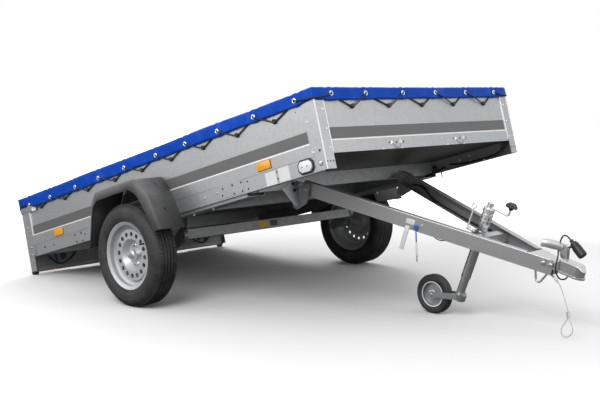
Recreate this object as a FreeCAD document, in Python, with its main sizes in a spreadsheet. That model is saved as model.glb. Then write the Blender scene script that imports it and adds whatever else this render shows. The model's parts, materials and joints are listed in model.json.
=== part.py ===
"""Tipping single-axle utility trailer with a flat tarpaulin, standing tipped on its jockey wheel.

Lengths are millimetres and angles degrees. The load box is drawn level, with x forward from the axle,
y to the left and z up from the ground, and then leans back about the axle. The drawbar is drawn along x
from its hinge, and the jockey leg along z from the middle of the drawbar.
"""
import FreeCAD, Part
import math
import os

import Sketcher

V = FreeCAD.Vector
SHEET = "Sizes"


class Size(float):
    """A number that also keeps the expression on the sheet that it comes from."""

    def __new__(cls, value, text):
        size = super().__new__(cls, value)
        size.text = text
        return size

    def __add__(self, other):
        return Size(float(self) + float(other), f"({self.text} + {written(other)})")

    def __radd__(self, other):
        return Size(float(other) + float(self), f"({written(other)} + {self.text})")

    def __sub__(self, other):
        return Size(float(self) - float(other), f"({self.text} - {written(other)})")

    def __rsub__(self, other):
        return Size(float(other) - float(self), f"({written(other)} - {self.text})")

    def __mul__(self, other):
        return Size(float(self) * float(other), f"({self.text} * {written(other)})")

    def __rmul__(self, other):
        return Size(float(other) * float(self), f"({written(other)} * {self.text})")

    def __truediv__(self, other):
        return Size(float(self) / float(other), f"({self.text} / {written(other)})")

    def __neg__(self):
        return Size(-float(self), f"(-1 * {self.text})")


def written(number):
    """The expression text of a size or of a plain number."""
    return number.text if isinstance(number, Size) else repr(float(number))


def sine(angle):
    return Size(math.sin(math.radians(angle)), f"sin({written(angle)})")


def cosine(angle):
    return Size(math.cos(math.radians(angle)), f"cos({written(angle)})")


# Stance of the parked trailer
STANCE = dict(
    box_tilt_angle=14.94,
    drawbar_slope_angle=15.3,
    leg_lean_angle=20.7,
)

# Load box
BOX = dict(
    box_width=1576.0,
    box_front=1365.0,
    box_rear=1256.0,
    wall_height=297.0,
    floor_thick=9.0,
    floor_gap=2.0,
    rail_height=71.0,
    rail_flange=40.0,
    rail_sheet=2.5,
    wall_sheet=2.0,
    wall_step=5.0,
    step_rise=58.0,
    hem_depth=24.0,
    hem_lip=14.0,
    post_leg=60.0,
    post_sheet=3.0,
    rear_post_leg=36.0,
    post_foot_rise=1.2,
    rail_gap=0.3,
    member_flange=38.0,
    hinge_member_face=800.0,
    axle_member_face=235.0,
    rear_member_face=-620.0,
    rail_plate_length=200.0,
    rail_plate_margin=8.0,
)

# Tailgate, its hinge pins and its latches
TAILGATE = dict(
    gate_gap=6.0,
    gate_rise=4.0,
    gate_lip=15.0,
    gate_axis_rise=12.0,
    gate_axis_inset=9.0,
    gate_pin_radius=5.0,
    gate_pin_gap=0.3,
    gate_pin_length=18.0,
    gate_barrel_radius=8.0,
    gate_barrel_length=36.0,
    gate_lug_thick=5.0,
    gate_lug_half=12.0,
    latch_length=125.0,
    latch_height=30.0,
    latch_thick=9.0,
    latch_drop=74.0,
    latch_margin=8.0,
    latch_base_length=62.0,
    latch_hook_reach=26.0,
    latch_hook_thick=4.0,
)

# Rear lamp beam, lamps, reflectors and feet
TAIL = dict(
    lamp_beam_height=58.0,
    lamp_beam_depth=30.0,
    lamp_beam_sheet=2.5,
    lamp_length=190.0,
    lamp_height=52.0,
    lamp_depth=20.0,
    lamp_inset=70.0,
    foot_radius=18.0,
    foot_forward=9.0,
    foot_width=31.0,
    foot_gap=0.3,
    foot_room=5.0,
    reflector_length=96.0,
    reflector_height=40.0,
    reflector_thick=7.0,
    reflector_rise=9.0,
    rear_reflector_station=-874.0,
    front_reflector_station=968.0,
    marker_length=84.0,
    marker_height=52.0,
    marker_depth=22.0,
    marker_station=1228.0,
    marker_rise=14.0,
)

# Tarpaulin
TARP = dict(
    tarp_thick=4.0,
    tarp_gap=0.5,
    tarp_skirt=57.0,
    flap_gap=5.0,
)

# Axle, wheels and mudguards
AXLE = dict(
    axle_square=50.0,
    axle_wall=4.0,
    axle_forward=140.0,
    axle_rise=54.0,
    axle_inset=128.0,
    arm_thick=28.0,
    arm_eye_radius=34.0,
    arm_end_radius=26.0,
    stub_radius=17.0,
    hub_radius=52.0,
    hub_flange=9.0,
    hub_barrel=31.0,
    hub_length=72.0,
    hub_cap_radius=24.0,
    hub_cap_length=26.0,
    hub_cap_wall=2.0,
    stub_gap=0.4,
    bracket_length=110.0,
    bracket_height=62.5,
    bracket_sheet=5.0,
    carrier_rear=-330.0,
    carrier_front=800.0,
    carrier_width=118.0,
    carrier_drop=18.0,
    carrier_inset=12.0,
)

WHEEL = dict(
    wheel_radius=273.5,
    wheel_offset=103.0,
    tyre_half_width=78.5,
    tyre_tread_half=50.0,
    tyre_shoulder_run=9.0,
    tyre_shoulder_drop=9.0,
    tyre_low_flank_share=0.2,
    tyre_low_width_share=0.93,
    tyre_side_share=0.45,
    tyre_high_flank_share=0.76,
    tyre_high_width_share=0.95,
    flange_share=0.6618,
    flange_half=65.0,
    bead_share=0.6033,
    bead_half=57.0,
    bead_gap=0.3,
    bead_room=0.9,
    well_slope=14.0,
    well_share=0.5265,
    well_half=20.0,
    rim_sheet=3.5,
    disc_plane=34.0,
    disc_outer_share=0.4973,
    disc_inner_share=0.3144,
    disc_centre_plane=6.0,
    disc_centre_radius=62.0,
    disc_hole_share=0.4059,
    disc_hole_radius=8.5,
    disc_holes=16.0,
    disc_hole_sink=10.5,
    centre_bore=29.0,
)

MUDGUARD = dict(
    guard_station=36.0,
    guard_clear=105.0,
    guard_bevel_drop=80.0,
    guard_side_drop=210.0,
    guard_side_clear=46.5,
    guard_bevel_run=58.0,
    guard_side_run=84.0,
    guard_width=200.0,
    guard_top_flare=22.0,
    guard_shoulder_flare=34.0,
    guard_shoulder_lift=18.0,
    guard_front_flare=64.0,
    guard_rear_flare=12.0,
    guard_lip=50.0,
    guard_wall=4.0,
)

# Drawbar and its hinge
DRAWBAR = dict(
    hinge_reach=65.0,
    hinge_drop=90.0,
    hinge_half=410.0,
    tip_half=34.0,
    beam_length=1212.0,
    beam_tail=30.0,
    beam_height=70.0,
    beam_flange=35.0,
    beam_sheet=3.0,
    web_end=127.0,
    pin_radius=8.0,
    pin_gap=0.5,
    pin_reach=30.0,
    hinge_plate=5.0,
    hinge_plate_gap=16.0,
    hinge_plate_rise=42.0,
    hinge_plate_height=148.0,
    hinge_plate_length=139.0,
    hinge_wing=100.0,
    hinge_wing_foot=30.0,
    hinge_wing_rise=6.0,
    cable_clip_back=600.0,
    cable_clip_front=818.0,
    cable_clip_side=14.0,
)

COUPLING = dict(
    ball_reach=108.0,
    ball_radius=25.0,
    ball_height=18.0,
    head_flat=6.0,
    head_slope=24.0,
    head_rear_top=35.0,
    nose_radius=34.0,
    nose_bottom=-6.0,
    nose_top=54.0,
    nose_slope=26.0,
    nose_slope_drop=24.0,
    head_round=5.0,
    head_wall=5.0,
    head_room_end=32.0,
    lip_reach=5.0,
    lip_height=7.0,
    lip_length=86.0,
    neck_sheet=4.0,
    neck_back=6.0,
    shank_length=42.0,
    shank_half=15.0,
    handle_length=112.0,
    handle_half=17.0,
    handle_height=19.0,
    handle_rear_low=76.0,
    handle_front_low=93.0,
    handle_round=7.0,
    ear_back=93.0,
    ear_height=97.0,
    ear_radius=22.0,
    ear_foot_back=78.0,
    ear_foot_height=55.0,
    ear_foot_radius=15.0,
    ear_half=13.0,
    foot_rod=5.0,
    foot_rear_back=100.0,
    foot_middle_back=70.0,
    foot_front_back=30.0,
    foot_end_reach=4.0,
    foot_end_drop=9.0,
    foot_drop=122.0,
    foot_bend=14.0,
    foot_seat=0.3,
    foot_lift=2.45,
)

# Plug, its holder, the cables and the breakaway rope
CORDS = dict(
    plug_back=73.5,
    plug_height=146.5,
    plug_lean_angle=121.8,
    plug_tail_radius=9.0,
    plug_tail_length=12.0,
    plug_body_radius=17.0,
    plug_body_length=40.0,
    plug_cap_radius=21.5,
    plug_length=93.0,
    plug_round=5.0,
    holder_gap=0.3,
    holder_sheet=2.5,
    holder_length=9.0,
    holder_station=26.0,
    holder_strap=12.0,
    cable_radius=3.5,
    cable_gland_radius=7.0,
    cable_gland_height=8.0,
    cable_exit_back=42.0,
    cable_exit_side=8.0,
    cable_exit_height=2.0,
    thin_cable_radius=2.5,
    rope_radius=2.25,
    ferrule_radius=5.5,
    ferrule_length=24.8,
    ferrule_gap=0.25,
    sleeve_radius=7.5,
    sleeve_bore=6.0,
    sleeve_length=24.5,
)

# Jockey wheel, its leg, its clamp and its crank
JOCKEY = dict(
    jockey_station=787.5,
    tube_radius=24.0,
    tube_wall=2.5,
    tube_below=235.0,
    tube_above=50.0,
    leg_gap=0.8,
    leg_top=-36.0,
    leg_wall=3.0,
    trail=137.0,
    jockey_radius=100.0,
    jockey_half=24.0,
    jockey_tread_half=14.0,
    jockey_shoulder=4.0,
    jockey_rim_radius=64.0,
    jockey_rim_half=21.0,
    jockey_hub_radius=16.0,
    jockey_hub_reach=3.0,
    jockey_axle_radius=7.0,
    jockey_axle_gap=0.4,
    jockey_axle_head=4.0,
    fork_gap=6.0,
    fork_sheet=5.0,
    fork_height=34.0,
    fork_end=44.0,
    fork_end_radius=16.0,
    fork_web=5.0,
    sleeve_wall=4.0,
    sleeve_gap=0.4,
    winder_radius=27.5,
    winder_shoulder=14.0,
    winder_height=51.0,
    groove_radius=24.0,
    groove_height=8.0,
    collar_radius=28.5,
    collar_height=24.0,
    collar_round=4.0,
    cap_radius=16.0,
    cap_height=29.0,
    cap_round=4.0,
    crank_height=151.0,
    crank_reach=108.0,
    crank_rod=5.5,
    crank_bend=12.0,
    knob_height=184.0,
    knob_stem_radius=11.0,
    knob_stem_height=9.0,
    knob_radius=30.0,
    knob_brim=5.0,
    knob_crown_radius=18.0,
    knob_dome=19.0,
    clamp_wall=7.0,
    clamp_height=46.0,
    clamp_gap=0.4,
    clamp_ear_reach=16.0,
    clamp_ear_half=10.0,
    bar_width=40.0,
    bar_height=46.0,
    bar_sheet=4.0,
    pigtail_rod=4.0,
    pigtail_stem=3.7,
    pigtail_ring=12.0,
    pigtail_height=120.0,
    pigtail_back=82.0,
    pigtail_screw=6.0,
)

# Outline of a hinge plate: shares of its length forward of the cross member and of its height down from its top
HINGE_PLATE_SHARES = (
    (0.0, 0.0), (0.144, 0.054), (0.683, 0.27), (0.388, 0.885), (-0.122, 1.0), (-0.317, 0.885), (-0.072, 0.29),
    (0.0, 0.29),
)

# Power cable, in the drawbar's frame at the ball: from its gland round a loop and over the neck to the plug
POWER_CABLE_ROUTE = (
    (-42, 8, 1.7), (-42, 8, -19), (-50, -3, -37), (-64, -22, -38), (-77, -39, -19), (-84, -49, 5),
    (-88, -51, 31), (-92, -42, 56), (-104, -20, 68), (-120, 3, 72), (-131, 22, 84), (-136, 31, 104),
    (-134, 27, 126), (-125, 17, 145), (-110, 7, 157), (-89.9, 0, 156.66), (-73.75, 0, 146.65),
)

# Thin cable, in the right beam's frame: out of the channel between two clips, sagging under the flange
THIN_CABLE_ROUTE = (
    (607.3, 10, -14), (625, 10, -14), (641, 22, -18), (655, 38, -21), (672, 48, -34), (696, 50, -46),
    (724, 50, -47), (747, 48, -35), (764, 38, -21), (778, 22, -18), (793.4, 10, -14), (810.7, 10, -14),
)

# Breakaway rope, plumb from the end of the foot's rod: down through its sleeve, round the loop and back up
ROPE_ROUTE = (
    (18, 0, -20), (33.3, 0, -37), (50, -13, -57), (69, -29.5, -82), (82, -32, -110), (88.5, -30, -136),
    (95.6, -33, -159), (100.6, -35.1, -176), (112, -38, -196), (121, -41, -215), (119, -42, -236), (105, -43, -253),
    (84, -44, -259.5), (67, -44, -250), (64, -43.5, -229), (71, -41.5, -210), (82, -38.5, -192),
    (94.66, -34.5, -171.5), (89.3, -32, -147.9),
)
ROPE_SLEEVE_ROUTE = ((90.5, -31.5, -142.5), (97, -34.5, -171))

CUT = dict(cut_over=5.0)

# A cord's arc takes this share of its shorter run, and its tube's volume may be off by this share
ARC_RUN_SHARE = 0.45
VOLUME_SHARE = 0.01

GROUPS = (
    STANCE, BOX, TAILGATE, TAIL, TARP, AXLE, WHEEL, MUDGUARD, DRAWBAR, COUPLING, CORDS, JOCKEY, CUT,
)


class Sizes:
    """The named sizes, read from the sheet."""


def make_sheet(doc):
    """Writes every named size to the sheet and returns them as sizes bound to it."""
    sheet = doc.addObject("Spreadsheet::Sheet", SHEET)
    sizes = Sizes()
    row = 0
    for group in GROUPS:
        for name, value in group.items():
            row += 1
            sheet.set(f"A{row}", name)
            sheet.set(f"B{row}", str(value))
            sheet.setAlias(f"B{row}", name)
            setattr(sizes, name, Size(value, f"{SHEET}.{name}"))
    doc.recompute()
    return sizes


doc = FreeCAD.newDocument("utility_trailer")
s = make_sheet(doc)
nodes = []
cord_names = ("power_cable", "thin_cable", "breakaway_rope", "plug", "rope_ferrules")


def bind(thing, **sizes):
    """Binds properties of a document object to sizes on the sheet."""
    for name, size in sizes.items():
        thing.setExpression(name, written(size))


def place(thing, x=0, y=0, z=0):
    """Binds the place of a document object to sizes on the sheet."""
    for axis, size in zip("xyz", (x, y, z)):
        thing.setExpression(f".Placement.Base.{axis}", written(size))


def plane_of(body, role):
    return next(plane for plane in body.Origin.OriginFeatures if plane.Role == role)


def add_outline(sketch, points):
    """Draws a closed outline of straight sides whose corners are bound to sizes."""
    count = len(points)
    first = sketch.GeometryCount
    for index, (u, v) in enumerate(points):
        nu, nv = points[(index + 1) % count]
        sketch.addGeometry(Part.LineSegment(V(u, v, 0), V(nu, nv, 0)), False)
    for index, (u, v) in enumerate(points):
        line = first + index
        before = first + (index - 1) % count
        sketch.addConstraint(Sketcher.Constraint("Coincident", before, 2, line, 1))
        for kind, size in (("DistanceX", u), ("DistanceY", v)):
            number = sketch.addConstraint(Sketcher.Constraint(kind, -1, 1, line, 1, float(size)))
            sketch.setExpression(f"Constraints[{number}]", written(size))


def add_circle(sketch, u, v, radius):
    """Draws a circle bound to sizes."""
    circle = sketch.addGeometry(Part.Circle(V(u, v, 0), V(0, 0, 1), float(radius)), False)
    number = sketch.addConstraint(Sketcher.Constraint("Radius", circle, float(radius)))
    sketch.setExpression(f"Constraints[{number}]", written(radius))
    for kind, size in (("DistanceX", u), ("DistanceY", v)):
        number = sketch.addConstraint(Sketcher.Constraint(kind, -1, 1, circle, 3, float(size)))
        sketch.setExpression(f"Constraints[{number}]", written(size))


def new_sketch(body, role, start=0):
    """Adds a sketch to a body, on one of its origin planes moved along its normal."""
    sketch = body.newObject("Sketcher::SketchObject", "Outline")
    sketch.AttachmentSupport = [(plane_of(body, role), "")]
    sketch.MapMode = "FlatFace"
    sketch.setExpression("AttachmentOffset.Base.z", written(start))
    return sketch


def extrude(name, role, points, length, start=0, holes=()):
    """A body with one pad: an outline on an origin plane, pushed along the plane's normal."""
    body = doc.addObject("PartDesign::Body", name)
    sketch = new_sketch(body, role, start)
    add_outline(sketch, points)
    for hole in holes:
        add_circle(sketch, *hole)
    pad = body.newObject("PartDesign::Pad", "Pad")
    pad.Profile = sketch
    bind(pad, Length=length)
    doc.recompute()
    return body


def add_pocket(body, role, points, length, start=0, circles=()):
    """Cuts an outline, or circles, out of a body against the plane's normal, from start backwards."""
    before = body.Shape.Volume
    sketch = new_sketch(body, role, start)
    if points:
        add_outline(sketch, points)
    for circle in circles:
        add_circle(sketch, *circle)
    pocket = body.newObject("PartDesign::Pocket", "Pocket")
    pocket.Profile = sketch
    bind(pocket, Length=length)
    doc.recompute()
    if body.Shape.Volume >= before:
        raise ValueError(f"{body.Label}: a pocket cuts nothing")
    return body


def revolve(name, points, role="XY_Plane"):
    """A body turned about the vertical axis of a sketch: u is the radius and v the place along the axis.

    On the XY plane the axis is y, and on the XZ plane it is z.
    """
    body = doc.addObject("PartDesign::Body", name)
    sketch = new_sketch(body, role)
    add_outline(sketch, points)
    turned = body.newObject("PartDesign::Revolution", "Revolution")
    turned.Profile = sketch
    turned.ReferenceAxis = (sketch, ["V_Axis"])
    turned.Angle = 360
    doc.recompute()
    return body


def loft(body, kind, role, first, first_start, second, second_start):
    """Adds or cuts a ruled form between two outlines with as many corners, on two parallel planes."""
    profile = new_sketch(body, role, first_start)
    add_outline(profile, first)
    section = new_sketch(body, role, second_start)
    add_outline(section, second)
    ruled = body.newObject(kind, "Loft")
    ruled.Profile = profile
    ruled.Sections = [section]
    ruled.Ruled = True
    doc.recompute()
    return body


def add_nose(body, back, centre, radius, height, start):
    """Pads a plate with straight sides and a half-round nose."""
    sketch = new_sketch(body, "XY_Plane", start)
    corners = [(back, radius), (back, -radius), (centre, -radius), (centre, radius)]
    ends = [(0, 1), (1, 2), (3, 0)]
    for one, other in ends:
        sketch.addGeometry(Part.LineSegment(V(*corners[one], 0), V(*corners[other], 0)), False)
    round_end = Part.Circle(V(centre, 0, 0), V(0, 0, 1), float(radius))
    sketch.addGeometry(Part.ArcOfCircle(round_end, -math.pi / 2, math.pi / 2), False)
    for before, after in ((0, 1), (2, 0)):
        sketch.addConstraint(Sketcher.Constraint("Coincident", before, 2, after, 1))
    sketch.addConstraint(Sketcher.Constraint("Coincident", 1, 2, 3, 1))
    sketch.addConstraint(Sketcher.Constraint("Coincident", 3, 2, 2, 1))
    fixed = [(0, 1, "DistanceX", back), (0, 1, "DistanceY", radius), (1, 1, "DistanceX", back),
             (1, 1, "DistanceY", -radius), (1, 2, "DistanceX", centre), (1, 2, "DistanceY", -radius),
             (2, 1, "DistanceX", centre), (2, 1, "DistanceY", radius), (3, 3, "DistanceX", centre)]
    for line, point, kind, size in fixed:
        number = sketch.addConstraint(Sketcher.Constraint(kind, -1, 1, line, point, float(size)))
        sketch.setExpression(f"Constraints[{number}]", written(size))
    pad = body.newObject("PartDesign::Pad", "Pad")
    pad.Profile = sketch
    bind(pad, Length=height)
    doc.recompute()
    return body


def cord(name, points, radius):
    """A cord's tube: straight runs between the points, with an arc at each point as large as its runs allow."""
    corners = [V(*point) for point in points]
    edges, at, radii = [], corners[0], []
    for before, corner, after in zip(corners, corners[1:], corners[2:]):
        back, ahead = before - corner, after - corner
        setback = ARC_RUN_SHARE * min(back.Length, ahead.Length)
        half = back.getAngle(ahead) / 2
        bend = setback * math.tan(half)
        radii.append(bend)
        back.normalize()
        ahead.normalize()
        start, end = corner + back * setback, corner + ahead * setback
        middle = corner + (back + ahead).normalize() * (bend / math.sin(half) - bend)
        edges += [Part.LineSegment(at, start).toShape(), Part.Arc(start, middle, end).toShape()]
        at = end
    edges.append(Part.LineSegment(at, corners[-1]).toShape())
    path = Part.Wire(edges)
    section = Part.Wire(Part.makeCircle(float(radius), corners[0], corners[1] - corners[0]))
    tube = doc.addObject("Part::Feature", name)
    tube.Shape = path.makePipeShell([section], True, False)
    expected = math.pi * float(radius) ** 2 * path.Length
    if abs(tube.Shape.Volume - expected) > expected * VOLUME_SHARE:
        raise ValueError(f"{name}: its volume is not its section times its length")
    runs = [(after - before).Length for before, after in zip(corners, corners[1:])]
    print(f"{name} tube: length {path.Length:.1f}, runs {min(runs):.1f} to {max(runs):.1f}, "
          f"least radius {min(radii):.1f}, most {max(radii):.1f}")
    return tube


def fillet(body, radius, test):
    """Rounds the edges of a body that pass a test."""
    edges = [f"Edge{number}" for number, edge in enumerate(body.Shape.Edges, 1) if test(edge)]
    if not edges:
        raise ValueError(f"{body.Label}: no edge to round")
    base = body.Tip
    rounded = body.newObject("PartDesign::Fillet", "Fillet")
    rounded.Base = (base, edges)
    bind(rounded, Radius=radius)
    doc.recompute()
    return body


def box(name, length, width, height, x, y, z):
    """A box by its three sides and its lowest corner."""
    block = doc.addObject("Part::Box", name)
    bind(block, Length=length, Width=width, Height=height)
    place(block, x, y, z)
    return block


def cylinder(name, radius, height, x, y, z, axis="z"):
    """A cylinder by its radius, height and the middle of its first end."""
    turned = {"z": FreeCAD.Rotation(), "y": FreeCAD.Rotation(V(1, 0, 0), -90), "x": FreeCAD.Rotation(V(0, 1, 0), 90)}
    round_bar = doc.addObject("Part::Cylinder", name)
    bind(round_bar, Radius=radius, Height=height)
    round_bar.Placement = FreeCAD.Placement(V(0, 0, 0), turned[axis])
    place(round_bar, x, y, z)
    return round_bar


def cut(name, base, *tools):
    """Cuts tools out of a base, one after another."""
    for tool in tools:
        step = doc.addObject("Part::Cut", f"{name}_cut")
        step.Base, step.Tool = base, tool
        base = step
    doc.recompute()
    return base


def fuse(name, *shapes):
    """Joins shapes into one solid."""
    joined = doc.addObject("Part::MultiFuse", name)
    joined.Shapes = list(shapes)
    joined.Refine = True
    doc.recompute()
    return joined


def group(name, *shapes):
    """Keeps like solids that don't touch in one object."""
    together = doc.addObject("Part::Compound", name)
    together.Links = list(shapes)
    doc.recompute()
    return together


def rod(name, points, radius, bend):
    """A bent round bar: straight runs between points, with tangent arcs at the corners."""
    corners = [V(*[float(value) for value in point]) for point in points]
    edges, at = [], corners[0]
    for before, corner, after in zip(corners, corners[1:], corners[2:]):
        to_before, to_after = (before - corner).normalize(), (after - corner).normalize()
        half = to_before.getAngle(to_after) / 2
        setback = float(bend) / math.tan(half)
        start, end = corner + to_before * setback, corner + to_after * setback
        middle_line = (to_before + to_after).normalize()
        middle = corner + middle_line * (float(bend) / math.sin(half) - float(bend))
        edges += [Part.LineSegment(at, start).toShape(), Part.Arc(start, middle, end).toShape()]
        at = end
    edges.append(Part.LineSegment(at, corners[-1]).toShape())
    path = Part.Wire(edges)
    section = Part.Wire(Part.makeCircle(float(radius), corners[0], corners[1] - corners[0]))
    bar = doc.addObject("Part::Feature", name)
    bar.Shape = path.makePipeShell([section], True, False)
    return bar


def frame_at(x, z, angle):
    """A placement at x and z whose nose is down by an angle."""
    return FreeCAD.Placement(V(float(x), 0, float(z)), FreeCAD.Rotation(V(0, 1, 0), float(angle)))


def put(name, thing, frame):
    """Names a finished piece and sets it in its frame."""
    if thing.ExpressionEngine:
        thing = group(f"{name}_set", thing)
    for other in doc.Objects:
        if other.Label == name:
            other.Label = f"{name}_shape"
    thing.Label = name
    thing.Placement = frame.multiply(thing.Placement)
    nodes.append(thing)
    return thing


half_width = s.box_width / 2
skin = half_width - s.post_sheet
axle_half = half_width - s.axle_inset
wheel_plane = half_width + s.wheel_offset
axle_top = s.wheel_radius + s.axle_rise + s.axle_square / 2
rail_bottom = axle_top + s.bracket_height + s.carrier_drop
floor_under = rail_bottom + s.rail_height
wall_top = floor_under + s.wall_height
step_height = floor_under + s.step_rise
flange_radius = s.wheel_radius * s.flange_share
bead_radius = s.wheel_radius * s.bead_share
well_radius = s.wheel_radius * s.well_share
disc_outer = s.wheel_radius * s.disc_outer_share
disc_inner = s.wheel_radius * s.disc_inner_share
disc_hole_ring = s.wheel_radius * s.disc_hole_share
foot_x = -s.box_rear + s.foot_forward
foot_z = s.wheel_radius + (s.foot_radius - s.wheel_radius - foot_x * sine(s.box_tilt_angle)) / cosine(s.box_tilt_angle)
rear_post_bottom = foot_z + s.post_foot_rise
gate_bottom = floor_under + s.gate_rise
gate_axis_height = floor_under + s.gate_axis_rise
gate_half = half_width - s.rear_post_leg - s.gate_gap
hinge_forward = s.hinge_member_face + s.hinge_reach
hinge_height = floor_under - s.hinge_drop
flange_stop = s.beam_length - s.web_end
ball_station = s.beam_length + s.ball_reach
guard_top = s.wheel_radius * 2 + s.guard_clear
guard_shoulder = guard_top - s.guard_bevel_drop
guard_bottom = guard_shoulder - s.guard_side_drop
guard_bottom_half = s.wheel_radius + s.guard_side_clear
guard_shoulder_half = guard_bottom_half - s.guard_side_run
guard_top_half = guard_shoulder_half - s.guard_bevel_run
guard_outer = skin + s.guard_width
winder_top = s.tube_above + s.winder_shoulder + s.winder_height
head_back = s.beam_length
beam_angle = math.degrees(math.atan((s.hinge_half - s.tip_half) / s.beam_length))


def axle_lean(x, z):
    """Where a place in the level box comes to when the box leans back about the axle."""
    up = z - s.wheel_radius
    return (
        x * cosine(s.box_tilt_angle) - up * sine(s.box_tilt_angle),
        x * sine(s.box_tilt_angle) + up * cosine(s.box_tilt_angle) + s.wheel_radius,
    )


def stance_frames():
    """The frames of the leaning box, the drawbar and the jockey leg."""
    box_x, box_z = axle_lean(0, 0)
    box_frame = frame_at(box_x, box_z, -s.box_tilt_angle)
    hinge = axle_lean(hinge_forward, hinge_height)
    drawbar_frame = frame_at(*hinge, s.drawbar_slope_angle)
    leg_x = hinge[0] + s.jockey_station * cosine(s.drawbar_slope_angle)
    leg_z = hinge[1] - s.jockey_station * sine(s.drawbar_slope_angle)
    leg_frame = frame_at(leg_x, leg_z, s.leg_lean_angle)
    return box_frame, drawbar_frame, leg_frame, hinge, (leg_x, leg_z)


BOX_FRAME, BAR_FRAME, LEG_FRAME, HINGE, LEG = stance_frames()
leg_reach = (
    (LEG[1] + s.trail * sine(s.leg_lean_angle) - s.jockey_radius) / cosine(s.leg_lean_angle)
)
leg_bottom = -(leg_reach - s.fork_end)


def both(name, make, frame):
    """Makes a piece on the left and on the right: make gets a name and the side's sign."""
    for side, sign in (("left", 1), ("right", -1)):
        put(f"{name}_{side}", make(f"{name}_{side}", sign), frame)


def pair(name, make, frame):
    """Puts the left and the right one of a small piece in one node."""
    put(name, group(f"{name}_pair", make(f"{name}_left", 1), make(f"{name}_right", -1)), frame)


def sided(points, sign):
    """Section points with u across the trailer, for the left or the right side."""
    return [(u * sign, v) for u, v in points]


def wall_section(face, inward):
    """Section of a wall: a plain lower strip, a step, a face and a hem folded in at the top."""
    t, lip = s.wall_sheet, s.hem_lip
    upper = face + inward * s.wall_step
    hem = upper + inward * s.hem_depth
    return [
        (face, floor_under), (face, step_height), (upper, step_height + s.wall_step),
        (upper, wall_top), (hem, wall_top), (hem, wall_top - lip),
        (hem - inward * t, wall_top - lip), (hem - inward * t, wall_top - t),
        (upper + inward * t, wall_top - t), (upper + inward * t, step_height + s.wall_step),
        (face + inward * t, step_height), (face + inward * t, floor_under),
    ]


def side_wall(name, sign):
    points = wall_section(skin * sign, -sign)
    rear, front = -s.box_rear + s.post_sheet, s.box_front - s.post_sheet
    return extrude(name, "YZ_Plane", points, front - rear, rear)


def front_wall():
    points = wall_section(s.box_front - s.post_sheet, -1)
    half = skin - s.wall_step - s.hem_depth - s.floor_gap
    return extrude("front_wall", "XZ_Plane", points, half * 2, -half)


def side_rail(name, sign):
    """Channel under the side wall, open inwards."""
    t, outer, inner = s.rail_sheet, skin - s.wall_sheet, skin - s.wall_sheet - s.rail_flange
    low, high = rail_bottom, floor_under
    points = [
        (outer, low), (outer, high), (inner, high), (inner, high - t),
        (outer - t, high - t), (outer - t, low + t), (inner, low + t), (inner, low),
    ]
    start, end = -s.box_rear + s.post_leg, s.box_front - s.post_leg
    return extrude(name, "YZ_Plane", sided(points, sign), end - start, start)


def rail_plate(name, sign):
    """Plate on the outside of the side rail, where the hinge cross member is bolted through."""
    face = skin - s.wall_sheet
    y = face if sign > 0 else -face - s.wall_sheet
    low = rail_bottom + s.rail_plate_margin
    return box(
        name, s.rail_plate_length, s.wall_sheet, floor_under - s.rail_gap - low,
        s.hinge_member_face - s.rail_plate_length, y, low,
    )


def front_post(name, sign):
    """Angle profile round a front corner."""
    x, y, t, leg = s.box_front, half_width, s.post_sheet, s.post_leg
    points = [(x, y), (x - leg, y), (x - leg, y - t), (x - t, y - t), (x - t, y - leg), (x, y - leg)]
    points = [(u, v * sign) for u, v in points]
    return extrude(name, "XY_Plane", points, wall_top - rail_bottom, rail_bottom)


def rear_post(name, sign):
    """Angle profile round a rear corner, which reaches down to the lamp beam."""
    x, y, t = -s.box_rear, half_width, s.post_sheet
    leg, back = s.post_leg, s.rear_post_leg
    points = [(x, y), (x + leg, y), (x + leg, y - t), (x + t, y - t), (x + t, y - back), (x, y - back)]
    points = [(u, v * sign) for u, v in points]
    post = extrude(name, "XY_Plane", points, wall_top - rear_post_bottom, rear_post_bottom)
    low = rear_post_bottom - s.cut_over
    notch = [(back_edge * sign, level) for back_edge, level in (
        (y - back - s.cut_over, low), (y - t, low),
        (y - t, foot_z + s.foot_radius + s.foot_room), (y - back - s.cut_over, foot_z + s.foot_radius + s.foot_room),
    )]
    add_pocket(post, "YZ_Plane", notch, t + s.cut_over * 2, x + t + s.cut_over)
    return fuse(f"{name}_with_lug", post, gate_lug(name, sign))


def floor():
    rear = -s.box_rear + s.hem_depth + s.gate_gap
    front = s.box_front - s.post_sheet - s.wall_sheet - s.floor_gap
    half = skin - s.wall_sheet - s.floor_gap
    return box("floor", front - rear, half * 2, s.floor_thick, rear, -half, floor_under)


def cross_member(name, face):
    """Channel between the side rails, open to the rear."""
    t, low, high = s.rail_sheet, rail_bottom, floor_under
    back = face - s.member_flange
    points = [
        (face, low), (face, high), (back, high), (back, high - t),
        (face - t, high - t), (face - t, low + t), (back, low + t), (back, low),
    ]
    half = skin - s.wall_sheet - s.rail_flange - s.rail_gap
    return extrude(name, "XZ_Plane", points, half * 2, -half)


def tail_member():
    """Folded sill under the tailgate that carries the rear edge of the floor."""
    return cross_member("rear_sill", -s.box_rear + s.post_leg + s.member_flange)


def lamp_beam():
    """Folded beam between the feet of the rear posts, open to the front."""
    t, back = s.lamp_beam_sheet, -s.box_rear + s.post_sheet
    front, low = back + s.lamp_beam_depth, rear_post_bottom
    high = low + s.lamp_beam_height
    points = [
        (back, low), (back, high), (front, high), (front, high - t),
        (back + t, high - t), (back + t, low + t), (front, low + t), (front, low),
    ]
    half = half_width - s.rear_post_leg - s.foot_gap
    return extrude("rear_lamp_beam", "XZ_Plane", points, half * 2, -half)


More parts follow.
